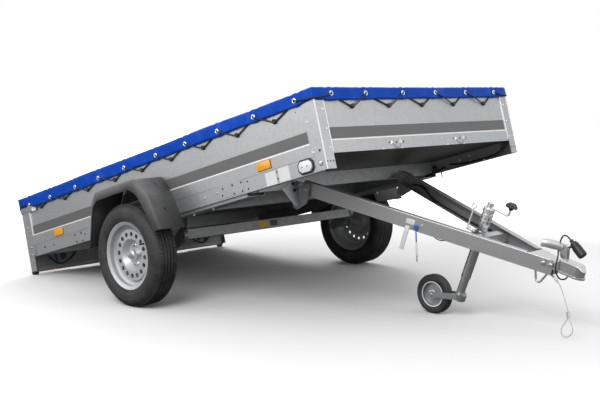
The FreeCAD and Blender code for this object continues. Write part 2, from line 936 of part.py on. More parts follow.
def tail_lamp(name, sign):
    y = half_width - s.rear_post_leg - s.lamp_inset
    low = rear_post_bottom + (s.lamp_beam_height - s.lamp_height) / 2
    x = -s.box_rear + s.post_sheet - s.lamp_depth
    start = y - s.lamp_length if sign > 0 else -y
    return box(name, s.lamp_depth, s.lamp_length, s.lamp_height, x, start, low)


def tail_foot(name, sign):
    """Round rubber foot under a rear post, which stands on the ground when the box is tipped."""
    outer = skin - s.foot_gap
    y = outer - s.foot_width if sign > 0 else -outer
    return cylinder(name, s.foot_radius, s.foot_width, foot_x, y, foot_z, "y")


def side_reflectors():
    """One reflector at each end of each side."""
    pieces = []
    for sign in (1, -1):
        for station in (s.rear_reflector_station, s.front_reflector_station):
            y = skin if sign > 0 else -skin - s.reflector_thick
            pieces.append(box(
                "reflector", s.reflector_length, s.reflector_thick, s.reflector_height,
                station - s.reflector_length / 2, y, floor_under + s.reflector_rise,
            ))
    return group("side_reflectors", *pieces)


def marker_lamp(name, sign):
    """Front position lamp on the side rail."""
    face = skin - s.wall_sheet
    y = face if sign > 0 else -face - s.marker_depth
    return box(
        name, s.marker_length, s.marker_depth, s.marker_height,
        s.marker_station - s.marker_length / 2, y, rail_bottom + s.marker_rise,
    )


def tailgate():
    """Rear board: a face with a hem at the top and a fold at the bottom, on two hinge pins."""
    t, x, depth = s.wall_sheet, -s.box_rear, s.hem_depth
    top, low = wall_top, gate_bottom
    points = [
        (x, low), (x, top), (x + depth, top), (x + depth, top - s.hem_lip),
        (x + depth - t, top - s.hem_lip), (x + depth - t, top - t), (x + t, top - t),
        (x + t, low + t), (x + s.gate_lip, low + t), (x + s.gate_lip, low),
    ]
    board = extrude("tailgate_board", "XZ_Plane", points, gate_half * 2, -gate_half)
    axis_x, axis_z = -s.box_rear + s.gate_axis_inset, gate_axis_height
    knuckles = []
    for sign in (1, -1):
        barrel_y = gate_half - s.gate_barrel_length if sign > 0 else -gate_half
        pin_y = gate_half if sign > 0 else -gate_half - s.gate_pin_length
        knuckles += [
            cylinder("gate_barrel", s.gate_barrel_radius, s.gate_barrel_length, axis_x, barrel_y, axis_z, "y"),
            cylinder("gate_pin", s.gate_pin_radius, s.gate_pin_length, axis_x, pin_y, axis_z, "y"),
        ]
    return fuse("tailgate", board, *knuckles)


def gate_lug(name, sign):
    """Bored lug behind the edge of a rear post, which the tailgate's pin turns in."""
    x, z = -s.box_rear + s.gate_axis_inset, gate_axis_height
    inner = half_width - s.rear_post_leg
    y = inner if sign > 0 else -inner - s.gate_lug_thick
    depth = s.gate_axis_inset - s.post_sheet + s.gate_lug_half
    plate = box(
        f"{name}_lug", depth, s.gate_lug_thick, s.gate_lug_half * 2,
        -s.box_rear + s.post_sheet, y, z - s.gate_lug_half,
    )
    bore = cylinder(
        "gate_lug_bore", s.gate_pin_radius + s.gate_pin_gap, s.gate_lug_thick + s.cut_over * 2,
        x, y - s.cut_over, z, "y",
    )
    return cut(f"{name}_lug_bored", plate, bore)


def gate_latch(name, sign):
    """Over-centre latch at the top of a rear corner: a base on the wall, a lever, and a hook round the post."""
    rear, low = -s.box_rear + s.latch_margin, wall_top - s.latch_drop - s.latch_height / 2
    wall_face = skin - s.wall_step
    thick, base = s.latch_thick, half_width - wall_face
    front = rear + s.latch_length
    lever = box("latch_lever", s.latch_length, thick, s.latch_height, rear,
                half_width if sign > 0 else -half_width - thick, low)
    foot = box("latch_base", s.latch_base_length, base, s.latch_height, front - s.latch_base_length,
               wall_face if sign > 0 else -half_width, low)
    corner = -s.box_rear - s.latch_hook_thick - s.flap_gap / 2
    hook_low, hook_height = low + s.latch_height / 4, s.latch_height / 2
    run = box("latch_hook_run", rear - corner, s.latch_hook_thick, hook_height, corner,
              half_width + s.rail_gap if sign > 0 else -half_width - s.rail_gap - s.latch_hook_thick, hook_low)
    end = box("latch_hook_end", s.latch_hook_thick, s.latch_hook_reach + s.latch_hook_thick, hook_height, corner,
              half_width + s.rail_gap - s.latch_hook_reach if sign > 0
              else -half_width - s.rail_gap - s.latch_hook_thick, hook_low)
    return fuse(name, lever, foot, run, end)


def tarp_top():
    """Flat cover over the walls with a skirt on three sides; its inside is open downwards."""
    t, g = s.tarp_thick, s.tarp_gap
    inner_half, outer_half = half_width + g, half_width + g + t
    rear, front = -s.box_rear, s.box_front + g
    low, high = wall_top + g - s.tarp_skirt, wall_top + g + t
    outer = box("tarp_outer", front + t - rear, outer_half * 2, high - low, rear, -outer_half, low)
    inner = box(
        "tarp_inner", front - rear + s.cut_over, inner_half * 2, s.tarp_skirt + s.cut_over,
        rear - s.cut_over, -inner_half, low - s.cut_over,
    )
    return cut("tarp_cover", outer, inner)


def tarp_flap():
    """Rear skirt of the cover, buttoned to the tailgate."""
    t, g = s.tarp_thick, s.tarp_gap
    half = gate_half
    high = wall_top + g + t - s.flap_gap
    return box(
        "tarp_rear_flap", t, half * 2, s.tarp_skirt - s.flap_gap,
        -s.box_rear - g - t, -half, high - s.tarp_skirt + s.flap_gap,
    )


def axle_beam():
    """Square hollow axle tube ahead of the wheel centres."""
    x, z = s.axle_forward, s.wheel_radius + s.axle_rise
    a, t = s.axle_square / 2, s.axle_wall
    outer = box("axle_outer", s.axle_square, axle_half * 2, s.axle_square, x - a, -axle_half, z - a)
    bore = box(
        "axle_bore", s.axle_square - t * 2, (axle_half + s.cut_over) * 2, s.axle_square - t * 2,
        x - a + t, -axle_half - s.cut_over, z - a + t,
    )
    return cut("axle_beam", outer, bore)


def swing_arm(name, sign):
    """Trailing arm from the end of the axle tube to the wheel, with its stub axle and hub."""
    x, z = s.axle_forward, s.wheel_radius + s.axle_rise
    near = axle_half
    y = near if sign > 0 else -near - s.arm_thick
    eye = cylinder("arm_eye", s.arm_eye_radius, s.arm_thick, x, y, z, "y")
    end = cylinder("arm_end", s.arm_end_radius, s.arm_thick, 0, y, s.wheel_radius, "y")
    r, e = s.arm_end_radius, s.arm_eye_radius
    web = extrude(
        "arm_web", "XZ_Plane",
        [(0, s.wheel_radius - r), (0, s.wheel_radius + r), (x, z + e), (x, z - e)],
        s.arm_thick, -y - s.arm_thick,
    )
    reach = wheel_plane + s.disc_centre_plane - near - s.arm_thick
    start = near + s.arm_thick if sign > 0 else -near - s.arm_thick - reach
    stub = cylinder("stub", s.stub_radius, reach, 0, start, s.wheel_radius, "y")
    return fuse(name, eye, end, web, stub)


def axle_bracket(name, sign):
    """Folded bracket between the axle tube and the side rail."""
    x, low = s.axle_forward, s.wheel_radius + s.axle_rise + s.axle_square / 2
    high = rail_bottom - s.carrier_drop
    y = axle_half - s.bracket_sheet
    points = [
        (x - s.axle_square / 2, low), (x + s.axle_square / 2, low),
        (x + s.bracket_length / 2, high), (x - s.bracket_length / 2, high),
    ]
    start = -y - s.bracket_sheet if sign > 0 else y
    return extrude(name, "XZ_Plane", points, s.bracket_sheet, start)


def axle_carrier(name, sign):
    """Long folded strip under the side rail that the axle bolts to."""
    outer = skin - s.wall_sheet - s.carrier_inset
    inner = outer - s.carrier_width
    t, low, high = s.rail_sheet, rail_bottom - s.carrier_drop, rail_bottom
    points = [
        (outer, low), (outer, high), (outer - t, high), (outer - t, low + t),
        (inner + t, low + t), (inner + t, high), (inner, high), (inner, low),
    ]
    return extrude(
        name, "YZ_Plane", sided(points, sign), s.carrier_front - s.carrier_rear, s.carrier_rear,
    )


def guard_outline(flare_share, inset, bottom):
    """Six corners of the guard, at a share of its flare between the lip and the wall, set in by a wall or lip."""
    g, level = s.guard_station, guard_shoulder - inset / 2
    front, rear = s.guard_front_flare * flare_share, s.guard_rear_flare * flare_share
    top = guard_top_half - s.guard_top_flare * flare_share - inset / 2
    shoulder = guard_shoulder_half - inset
    side = guard_bottom_half - inset
    return [
        (g - side + rear, bottom), (g - shoulder + rear, level), (g - top, guard_top - inset),
        (g + top, guard_top - inset),
        (g + shoulder - s.guard_shoulder_flare * flare_share, level + s.guard_shoulder_lift * flare_share),
        (g + side - front, bottom),
    ]


def mudguard(name, sign):
    """Six-sided plastic guard that widens from the wall to a lip on its outer side, open below."""
    body = doc.addObject("PartDesign::Body", name)
    wall, low = s.guard_wall, guard_bottom - s.cut_over
    at_wall, at_lip = -skin * sign, -guard_outer * sign
    loft(body, "PartDesign::AdditiveLoft", "XZ_Plane", guard_outline(1, 0, guard_bottom), at_wall,
         guard_outline(0, 0, guard_bottom), at_lip)
    loft(body, "PartDesign::SubtractiveLoft", "XZ_Plane", guard_outline(1, wall, low), at_wall,
         guard_outline(0, wall, low), at_lip + wall * sign)
    lip_start = -guard_outer + wall + s.cut_over if sign > 0 else guard_outer + s.cut_over
    add_pocket(body, "XZ_Plane", guard_outline(0, s.guard_lip, low), wall + s.cut_over * 2, lip_start)
    return body


def tyre(name, radius, half, tread_half, beads, shoulder_run, shoulder_drop):
    """A tyre turned about its wheel's axle, with its bead's corners, bulging flanks and rounded shoulders."""
    bead = beads[0][0]

    def flank(height_share, width_share):
        return bead + (radius - bead) * height_share, half * width_share
    side = beads + [
        flank(s.tyre_low_flank_share, s.tyre_low_width_share), flank(s.tyre_side_share, 1),
        flank(s.tyre_high_flank_share, s.tyre_high_width_share),
        (radius - shoulder_drop, tread_half + shoulder_run), (radius, tread_half),
    ]
    return revolve(name, side + [(u, -v) for u, v in reversed(side)])


def road_tyre(name):
    room = s.rim_sheet + s.bead_room
    beads = [
        (bead_radius + s.bead_gap, s.bead_half - room), (flange_radius + s.bead_room, s.flange_half - room),
    ]
    return tyre(
        name, s.wheel_radius, s.tyre_half_width, s.tyre_tread_half, beads, s.tyre_shoulder_run,
        s.tyre_shoulder_drop,
    )


def road_rim(name, sign):
    """Rim with flanges and a drop centre, and a pressed disc with a ring of holes."""
    t = s.rim_sheet
    f, b, w, k = flange_radius, bead_radius, well_radius, s.well_half + s.well_slope
    outline = [
        (f, -s.flange_half), (f, -s.flange_half + t), (b, -s.bead_half + t), (b, -k),
        (w, -s.well_half), (w, s.well_half), (b, k), (b, s.bead_half - t),
        (f, s.flange_half - t), (f, s.flange_half), (b - t, s.bead_half), (b - t, k),
        (w - t, s.well_half), (w - t, -s.well_half), (b - t, -k), (b - t, -s.bead_half),
    ]
    ring = revolve(f"{name}_ring", [(u, v * sign) for u, v in outline])
    p, c = s.disc_plane, s.disc_centre_plane
    disc_outline = [
        (s.centre_bore, c - t), (s.centre_bore, c), (s.disc_centre_radius, c), (disc_inner, p),
        (disc_outer, p), (w - t, s.well_half), (w - t, s.well_half - t * 2), (disc_outer, p - t),
        (disc_inner, p - t), (s.disc_centre_radius, c - t),
    ]
    disc = revolve(f"{name}_disc", [(u, v * sign) for u, v in disc_outline])
    holes = []
    for number in range(int(s.disc_holes)):
        angle = 2 * math.pi * number / s.disc_holes
        hole_y = p - s.disc_hole_sink if sign > 0 else -p + s.disc_hole_sink - s.disc_plane
        hole = cylinder(
            "disc_hole", s.disc_hole_radius, s.disc_plane, disc_hole_ring * math.cos(angle),
            hole_y, disc_hole_ring * math.sin(angle), "y",
        )
        holes.append(hole)
    pierced = cut(f"{name}_pierced", disc, group("disc_hole_ring", *holes))
    bore, barrel, flange = s.stub_radius + s.stub_gap, s.hub_barrel, s.hub_radius
    cap, cap_end = s.hub_cap_radius, c + s.hub_cap_length
    hub_outline = [
        (bore, c - t - s.hub_length), (barrel, c - t - s.hub_length), (barrel, c - t - s.hub_flange),
        (flange, c - t - s.hub_flange), (flange, c - t), (s.centre_bore, c - t), (s.centre_bore, c),
        (cap, c), (cap, cap_end), (0, cap_end), (0, cap_end - s.hub_cap_wall),
        (cap - s.hub_cap_wall, cap_end - s.hub_cap_wall), (cap - s.hub_cap_wall, c), (bore, c),
    ]
    hub = revolve(f"{name}_hub", [(u, v * sign) for u, v in hub_outline])
    return fuse(name, ring, pierced, hub)


def jockey_tyre():
    beads = [(s.jockey_rim_radius + s.bead_gap, s.jockey_rim_half)]
    return tyre(
        "jockey_tyre", s.jockey_radius, s.jockey_half, s.jockey_tread_half, beads, s.jockey_shoulder,
        s.jockey_shoulder,
    )


def jockey_rim():
    """Pressed rim with a hub and a bored axle."""
    t, r, half = s.fork_sheet, s.jockey_rim_radius, s.jockey_rim_half
    hub, reach = s.jockey_hub_radius, half + s.jockey_hub_reach
    bore = s.jockey_axle_radius + s.jockey_axle_gap
    side = [(bore, reach), (hub, reach), (hub, t / 2), (r - t, t / 2), (r - t, half), (r, half)]
    return revolve("jockey_rim", side + [(u, -v) for u, v in reversed(side)])


def beam_place(sign):
    """Placement of a drawbar beam in the drawbar's frame."""
    turn = FreeCAD.Rotation(V(0, 0, 1), -sign * beam_angle)
    return FreeCAD.Placement(V(0, sign * float(s.hinge_half), 0), turn)


def cable_clips():
    """Two clips on the inside of the right beam's web, which hold the thin cable's ends."""
    side = s.cable_clip_side
    return [
        box("cable_clip", side / 2, side, side, station, s.beam_sheet, -side * 3 / 2)
        for station in (s.cable_clip_back, s.cable_clip_front - side / 2)
    ]


def drawbar_beam(name, sign):
    """Channel beam, open inwards, whose flanges stop at the coupling."""
    t, a, w = s.beam_sheet, s.beam_height / 2, s.beam_flange
    points = [
        (0, -a), (0, a), (-w, a), (-w, a - t), (-t, a - t), (-t, -a + t), (-w, -a + t), (-w, -a),
    ]
    true_length = s.beam_length / math.cos(math.radians(beam_angle))
    flange_end = flange_stop / math.cos(math.radians(beam_angle))
    channel = extrude(name, "YZ_Plane", sided(points, sign), true_length + s.beam_tail, -s.beam_tail)
    trim = [
        (flange_end, -w - s.cut_over), (true_length + s.cut_over, -w - s.cut_over),
        (true_length + s.cut_over, -t), (flange_end, -t),
    ]
    trim = [(u, v * sign) for u, v in trim]
    add_pocket(channel, "XY_Plane", trim, s.beam_height + s.cut_over * 2, a + s.cut_over)
    if sign < 0:
        channel = fuse(f"{name}_clipped", channel, *cable_clips())
    channel.Placement = beam_place(sign)
    start = s.hinge_half - s.beam_flange if sign > 0 else -s.hinge_half - s.beam_flange
    hole = cylinder("pin_hole", s.pin_radius + s.pin_gap, s.beam_flange * 2, 0, start, 0, "y")
    return cut(name, channel, hole)


def hinge_bracket(name, sign):
    """Bracket under the hinge cross member: a pointed hanging plate, a wing bolted to the member, and the pin."""
    t, back, top = s.hinge_plate, s.hinge_member_face, rail_bottom + s.hinge_plate_rise
    face = s.hinge_half + s.hinge_plate_gap
    points = [
        (back + s.hinge_plate_length * along, top - s.hinge_plate_height * down)
        for along, down in HINGE_PLATE_SHARES
    ]
    start = -face - t if sign > 0 else face
    plate = extrude(f"{name}_plate", "XZ_Plane", points, t, start)
    foot = top - s.hinge_plate_height * HINGE_PLATE_SHARES[3][1]
    wing_points = [
        (face + t, top), (face + t + s.hinge_wing, rail_bottom + s.hinge_wing_rise),
        (face + t + s.hinge_wing_foot, foot), (face + t, foot),
    ]
    wing = extrude(f"{name}_wing", "YZ_Plane", sided(wing_points, sign), t, back)
    pin_y = face - s.pin_reach if sign > 0 else -face
    pin = cylinder("hinge_pin", s.pin_radius, s.pin_reach, hinge_forward, pin_y, hinge_height, "y")
    return fuse(name, plate, wing, pin)


def beam_side(x):
    """Distance of the outer face of a beam from the middle, at a place along the drawbar."""
    return s.hinge_half - (s.hinge_half - s.tip_half) * x / s.beam_length


def coupling_neck():
    """Two plates between the beams and the block that the head is bolted to."""
    clear = s.beam_sheet / math.cos(math.radians(beam_angle))
    back, front = flange_stop + s.neck_back, s.beam_length
    y_back, y_front = beam_side(back) - clear, beam_side(front) - clear
    a = s.beam_height / 2
    wedge = [(back, -y_back), (front, -y_front), (front, y_front), (back, y_back)]
    top = extrude("neck_top", "XY_Plane", wedge, s.neck_sheet, a - s.neck_sheet)
    sole = extrude("neck_sole", "XY_Plane", wedge, s.neck_sheet, -a)
    shank = box(
        "coupling_shank", s.shank_length, s.shank_half * 2, s.beam_height - s.neck_sheet,
        front - s.shank_length, -s.shank_half, -a,
    )
    return top, sole, shank


def coupling_head():
    """Pressed ball coupling: a round-nosed housing, hollow from below, with a rolled lip and a ball socket."""
    body = doc.addObject("PartDesign::Body", "coupling_housing")
    low, top, over = s.nose_bottom, s.nose_top, s.cut_over
    tip = ball_station + s.nose_radius
    add_nose(body, head_back, ball_station, s.nose_radius, top - low, low)
    across = s.nose_radius * 2 + over * 2
    rear_slope = [
        (head_back - over, s.head_rear_top), (head_back + s.head_flat, s.head_rear_top),
        (head_back + s.head_flat + s.head_slope, top), (head_back + s.head_flat + s.head_slope, top + over),
        (head_back - over, top + over),
    ]
    add_pocket(body, "XZ_Plane", rear_slope, across, across / 2)
    front_slope = [
        (tip - s.nose_slope, top), (tip, top - s.nose_slope_drop), (tip + over, top - s.nose_slope_drop),
        (tip + over, top + over), (tip - s.nose_slope, top + over),
    ]
    add_pocket(body, "XZ_Plane", front_slope, across, across / 2)
    fillet(body, s.head_round, lambda edge: edge.BoundBox.ZMin > low and edge.BoundBox.XLength > s.head_round)
    room_half = s.nose_radius - s.head_wall
    room_front = ball_station - s.head_room_end
    room_back = head_back + s.head_wall
    room = [
        (room_back, -room_half), (room_front, -room_half), (room_front, room_half), (room_back, room_half),
    ]
    ceiling = s.head_rear_top - s.head_wall
    add_pocket(body, "XY_Plane", room, ceiling - low + over, ceiling)
    add_lip(body)
    socket = cylinder(
        "ball_bore", s.ball_radius, s.ball_height - s.nose_bottom + s.cut_over,
        ball_station, 0, s.nose_bottom - s.cut_over,
    )
    cup = doc.addObject("Part::Sphere", "ball_cup")
    bind(cup, Radius=s.ball_radius)
    place(cup, ball_station, 0, s.ball_height)
    gland = cylinder(
        "cable_gland", s.cable_gland_radius, ceiling - s.cable_exit_height,
        ball_station - s.cable_exit_back, s.cable_exit_side, s.cable_exit_height,
    )
    whole = fuse("coupling_whole", *coupling_neck(), body, gland)
    return cut("coupling_head", whole, socket, cup)


def add_lip(body):
    """Rolls a lip round the lower edge of the coupling's nose and sides."""
    outer = s.nose_radius + s.lip_reach
    back = ball_station - s.lip_length
    add_nose(body, back, ball_station, outer, s.lip_height, s.nose_bottom)
    room_half = s.nose_radius - s.head_wall
    room_front = ball_station - s.head_room_end
    room = [(back - s.cut_over, -room_half), (room_front, -room_half), (room_front, room_half),
            (back - s.cut_over, room_half)]
    add_pocket(body, "XY_Plane", room, s.lip_height + s.cut_over, s.nose_bottom + s.lip_height)


def coupling_handle():
    """Lever over the coupling: a rounded grip and an upright ear that leans forward."""
    ear_x, foot_x = ball_station - s.ear_back, ball_station - s.ear_foot_back
    rear = ear_x - s.handle_length
    grip = extrude(
        "grip", "XZ_Plane",
        [
            (rear, s.handle_rear_low), (ear_x, s.handle_front_low), (ear_x, s.handle_front_low + s.handle_height),
            (rear, s.handle_rear_low + s.handle_height),
        ],
        s.handle_half * 2, -s.handle_half,
    )
    grip_top = s.handle_rear_low + s.handle_round
    fillet(grip, s.handle_round, lambda edge: edge.BoundBox.XMax < rear + s.handle_round
           or (edge.BoundBox.XLength > s.handle_length / 2 and edge.BoundBox.ZMin > grip_top))
    head = cylinder("ear_head", s.ear_radius, s.ear_half * 2, ear_x, -s.ear_half, s.ear_height, "y")
    foot = cylinder("ear_foot", s.ear_foot_radius, s.ear_half * 2, foot_x, -s.ear_half, s.ear_foot_height, "y")
    web = extrude(
        "ear_web", "XZ_Plane",
        [
            (foot_x - s.ear_foot_radius, s.ear_foot_height), (foot_x + s.ear_foot_radius, s.ear_foot_height),
            (ear_x + s.ear_radius, s.ear_height), (ear_x - s.ear_radius, s.ear_height),
        ],
        s.ear_half * 2, -s.ear_half,
    )
    lever = fuse("lever_whole", grip, head, foot, web)
    seat = box(
        "ear_seat", s.ear_foot_radius * 4, s.ear_half * 4, s.nose_top - s.nose_bottom,
        foot_x - s.ear_foot_radius * 2, -s.ear_half * 2, s.nose_bottom,
    )
    return cut("coupling_handle", lever, seat)


def foot_end():
    """Front end of the bent rod under the drawbar, where the breakaway rope starts."""
    top = -s.beam_height / 2 - s.foot_rod - s.foot_seat + s.foot_lift
    return s.beam_length + s.foot_end_reach, top - s.foot_end_drop


def coupling_foot():
    """Bent round bar under the front of the drawbar, with a straight tail that runs forward."""
    top = -s.beam_height / 2 - s.foot_rod - s.foot_seat + s.foot_lift
    end_x, end_z = foot_end()
    return rod(
        "coupling_foot",
        [
            (s.beam_length - s.foot_rear_back, 0, top), (s.beam_length - s.foot_middle_back, 0, -s.foot_drop),
            (s.beam_length - s.foot_front_back, 0, top), (end_x, 0, end_z),
        ],
        s.foot_rod, s.foot_bend,
    )


def plug_frame():
    here = FreeCAD.Placement(
        V(float(ball_station - s.plug_back), 0, float(s.plug_height)),
        FreeCAD.Rotation(V(0, 1, 0), float(s.plug_lean_angle)),
    )
    return BAR_FRAME.multiply(here)


def plug():
    """Round plug: a gland for the cable, a waist and a wider cap."""
    tail, body, cap = s.plug_tail_radius, s.plug_body_radius, s.plug_cap_radius
    neck, end, r = s.plug_tail_length, s.plug_length, s.plug_round
    return revolve("plug", [
        (0, 0), (tail, 0), (tail, neck), (body, neck + r), (body, s.plug_body_length),
        (cap, s.plug_body_length), (cap, end - r), (cap - r, end), (0, end),
    ], "XZ_Plane")


def plug_holder():
    """Clip round the plug's waist, on a strap from the side of the lever's ear."""
    bore = s.plug_body_radius + s.holder_gap
    ring_place = FreeCAD.Placement(
        V(float(ball_station - s.plug_back), 0, float(s.plug_height)),
        FreeCAD.Rotation(V(0, 1, 0), float(s.plug_lean_angle)),
    )
    ring = group("holder_ring_set", cylinder(
        "holder_ring", bore + s.holder_sheet, s.holder_length, 0, 0, s.holder_station,
    ))
    hole = group("holder_hole_set", cylinder("holder_hole", bore, s.plug_length, 0, 0, 0))
    ring.Placement = ring_place
    hole.Placement = ring_place
    middle = s.holder_station + s.holder_length / 2
    ring_x = ball_station - s.plug_back + middle * sine(s.plug_lean_angle)
    ring_z = s.plug_height + middle * cosine(s.plug_lean_angle)
    ear_x, half = ball_station - s.ear_back, s.holder_strap / 2
    strap = extrude(
        "holder_strap", "XZ_Plane",
        [
            (ear_x, s.ear_height - half), (ring_x, ring_z - half), (ring_x, ring_z + half),
            (ear_x, s.ear_height + half),
        ],
        s.holder_sheet, -s.ear_half - s.holder_gap - s.holder_sheet,
    )
    return cut("plug_holder", fuse("holder_whole", ring, strap), hole)


def rope_frame():
    """Plumb frame at the end of the foot's rod."""
    end_x, end_z = foot_end()
    return FreeCAD.Placement(BAR_FRAME.multVec(V(float(end_x), 0, float(end_z))), FreeCAD.Rotation())


def rod_between(name, start, end, radius, length):
    """A round bar of a length from one point towards another."""
    bar = group(f"{name}_set", cylinder(name, radius, length, 0, 0, 0))
    turn = FreeCAD.Rotation(V(0, 0, 1), V(*end) - V(*start))
    bar.Placement = FreeCAD.Placement(V(*start), turn)
    return bar


def rope_ferrules():
    """Pressed ferrule at the top of the rope and the sleeve that closes its loop."""
    first = V(*ROPE_ROUTE[0])
    start = first - V(first).normalize() * float(s.ferrule_length + s.ferrule_gap)
    top = rod_between("ferrule", tuple(start), ROPE_ROUTE[0], s.ferrule_radius, s.ferrule_length)
    sleeve_start, sleeve_end = ROPE_SLEEVE_ROUTE
    sleeve = rod_between("sleeve", sleeve_start, sleeve_end, s.sleeve_radius, s.sleeve_length)
    bore = rod_between("sleeve_bore", sleeve_start, sleeve_end, s.sleeve_bore, s.sleeve_length)
    return group("rope_ferrules", top, cut("rope_sleeve", sleeve, bore))


def jockey_bar():
    """Folded bar between the beams that carries the clamp."""
    station = s.jockey_station
    clear = s.beam_sheet / math.cos(math.radians(beam_angle))
    x = station + s.tube_radius + s.clamp_wall
    half_back, half_front = beam_side(x) - clear, beam_side(x + s.bar_width) - clear
    a = s.beam_height / 2
    plan = [(x, -half_back), (x + s.bar_width, -half_front), (x + s.bar_width, half_front), (x, half_back)]
    bar = extrude("jockey_bar", "XY_Plane", plan, s.bar_height, -s.bar_height / 2)
    hollow = box(
        "bar_hollow", s.bar_width - s.bar_sheet * 2, half_back * 2 + s.cut_over, s.bar_height,
        x + s.bar_sheet, -half_back - s.cut_over, -s.bar_height / 2 - s.bar_sheet,
    )
    seat = cylinder(
        "clamp_seat", s.tube_radius + s.clamp_gap * 2 + s.clamp_wall, s.bar_height * 2, 0, 0, -s.bar_height,
    )
    seat = group("clamp_seat_set", seat)
    lean = s.leg_lean_angle - s.drawbar_slope_angle
    seat.Placement = FreeCAD.Placement(V(float(station), 0, 0), FreeCAD.Rotation(V(0, 1, 0), float(lean)))
    return cut("jockey_crossbar", bar, hollow, seat)


def clamp():
    """Ring round the jockey tube, on the cross bar, with the ear that its screw goes through."""
    r = s.tube_radius + s.clamp_gap
    outer, low = r + s.clamp_wall, -s.clamp_height / 2
    ring = cylinder("clamp_ring", outer, s.clamp_height, 0, 0, low)
    bore = cylinder("clamp_bore", r, s.clamp_height + s.cut_over * 2, 0, 0, low - s.cut_over)
    ear = cylinder(
        "clamp_ear", s.clamp_ear_half, outer + s.clamp_ear_reach, -outer - s.clamp_ear_reach, 0, 0, "x",
    )
    return cut("jockey_clamp", fuse("clamp_whole", ring, ear), bore)


def clamp_handle():
    """Pigtail handle of the clamp screw."""
    back, ring = -s.pigtail_back, s.pigtail_ring
    stem = cylinder("pigtail_stem", s.pigtail_stem, s.pigtail_height - ring, back, 0, 0)
    loop = doc.addObject("Part::Torus", "pigtail_loop")
    bind(loop, Radius1=ring, Radius2=s.pigtail_rod)
    loop.Placement = FreeCAD.Placement(V(0, 0, 0), FreeCAD.Rotation(V(1, 0, 0), 90))
    place(loop, back, 0, s.pigtail_height)
    ear_end = s.tube_radius + s.clamp_gap + s.clamp_wall + s.clamp_ear_reach
    reach = s.pigtail_back - ear_end - s.clamp_gap + s.pigtail_rod
    screw = cylinder("clamp_screw", s.pigtail_screw, reach, back - s.pigtail_rod, 0, 0, "x")
    return fuse("clamp_handle", stem, loop, screw)


def outer_tube():
    r, t = s.tube_radius, s.tube_wall
    height = s.tube_below + s.tube_above
    tube = cylinder("tube_outer", r, height, 0, 0, -s.tube_below)
    bore = cylinder("tube_bore", r - t, height + s.cut_over * 2, 0, 0, -s.tube_below - s.cut_over)
    return cut("jockey_tube", tube, bore)


def winder():
    """Winding head: a shouldered body, a groove, a collar and a cap, with the crank bent up to its knob."""
    low, r, wide = s.tube_above, s.tube_radius, s.winder_radius
    shoulder, body_top = low + s.winder_shoulder, winder_top
    collar, groove_top = s.collar_radius, winder_top + s.groove_height
    collar_top = groove_top + s.collar_height
    cap, cap_top = s.cap_radius, collar_top + s.cap_height
    head = revolve("winder_head", [
        (0, low), (r, low), (wide, shoulder), (wide, body_top), (s.groove_radius, body_top),
        (s.groove_radius, groove_top), (collar, groove_top), (collar, collar_top - s.collar_round),
        (collar - s.collar_round, collar_top), (cap, collar_top), (cap, cap_top - s.cap_round),
        (cap - s.cap_round, cap_top), (0, cap_top),
    ], "XZ_Plane")
    crank = rod(
        "crank_rod",
        [(0, 0, s.crank_height), (s.crank_reach, 0, s.crank_height), (s.crank_reach, 0, s.knob_height)],
        s.crank_rod, s.crank_bend,
    )
    return fuse("jockey_winder", head, crank)


def knob():
    """Mushroom knob: a stem, a brim and a domed crown, standing on the crank."""
    stem, wide, crown = s.knob_stem_radius, s.knob_radius, s.knob_crown_radius
    brim = s.knob_stem_height + s.knob_brim
    return revolve("crank_knob_turned", [
        (0, 0), (stem, 0), (stem, s.knob_stem_height), (wide, brim), (wide, brim + s.knob_brim),
        (crown, brim + s.knob_dome), (0, brim + s.knob_dome),
    ], "XZ_Plane")


def knob_frame():
    here = FreeCAD.Placement(V(float(s.crank_reach), 0, float(s.knob_height + s.clamp_gap)), FreeCAD.Rotation())
    return LEG_FRAME.multiply(here)


def inner_leg():
    r = s.tube_radius - s.tube_wall - s.leg_gap
    top = s.leg_top
    tube = cylinder("leg_outer", r, top - leg_bottom, 0, 0, leg_bottom)
    bore = cylinder(
        "leg_bore", r - s.leg_wall, top - leg_bottom + s.cut_over * 2, 0, 0, leg_bottom - s.cut_over,
    )
    return cut("jockey_leg", tube, bore)


def fork():
    """Strap bent round the foot of the leg, with a webbed sleeve and two arms to the wheel's axle."""
    hole = s.tube_radius - s.tube_wall - s.leg_gap + s.sleeve_gap
    inside = s.jockey_half + s.fork_gap
    outside, low, tall = inside + s.fork_sheet, leg_bottom, s.fork_height
    bend = cut(
        "fork_bend",
        cylinder("fork_bend_outer", outside, tall, 0, 0, low),
        cylinder("fork_bend_inner", inside, tall + s.cut_over * 2, 0, 0, low - s.cut_over),
        box("fork_bend_back", outside, outside * 2, tall + s.cut_over * 2, -outside, -outside, low - s.cut_over),
    )
    arms = []
    for start in (inside, -outside):
        points = [
            (0, low), (0, low + tall), (-s.trail, s.fork_end_radius - leg_reach),
            (-s.trail, -s.fork_end_radius - leg_reach),
        ]
        arms.append(extrude("fork_arm", "XZ_Plane", points, s.fork_sheet, start))
        arms.append(cylinder("fork_eye", s.fork_end_radius, s.fork_sheet, -s.trail, start, -leg_reach, "y"))
    web = box("fork_web", inside, inside * 2, s.fork_web, -s.tube_radius, -inside, low)
    sleeve = cylinder("fork_sleeve", hole + s.sleeve_wall, tall, 0, 0, low)
    web_front = cylinder("fork_web_front", inside + s.fork_sheet / 2, s.fork_web, 0, 0, low)
    axle = cylinder(
        "jockey_axle", s.jockey_axle_radius, (outside + s.jockey_axle_head) * 2, -s.trail,
        -outside - s.jockey_axle_head, -leg_reach, "y",
    )
    whole = fuse("fork_whole", bend, *arms, web, web_front, sleeve, axle)
    bore = cylinder("sleeve_bore", hole, tall + s.cut_over * 2, 0, 0, low - s.cut_over)
    return cut("jockey_fork", whole, bore)


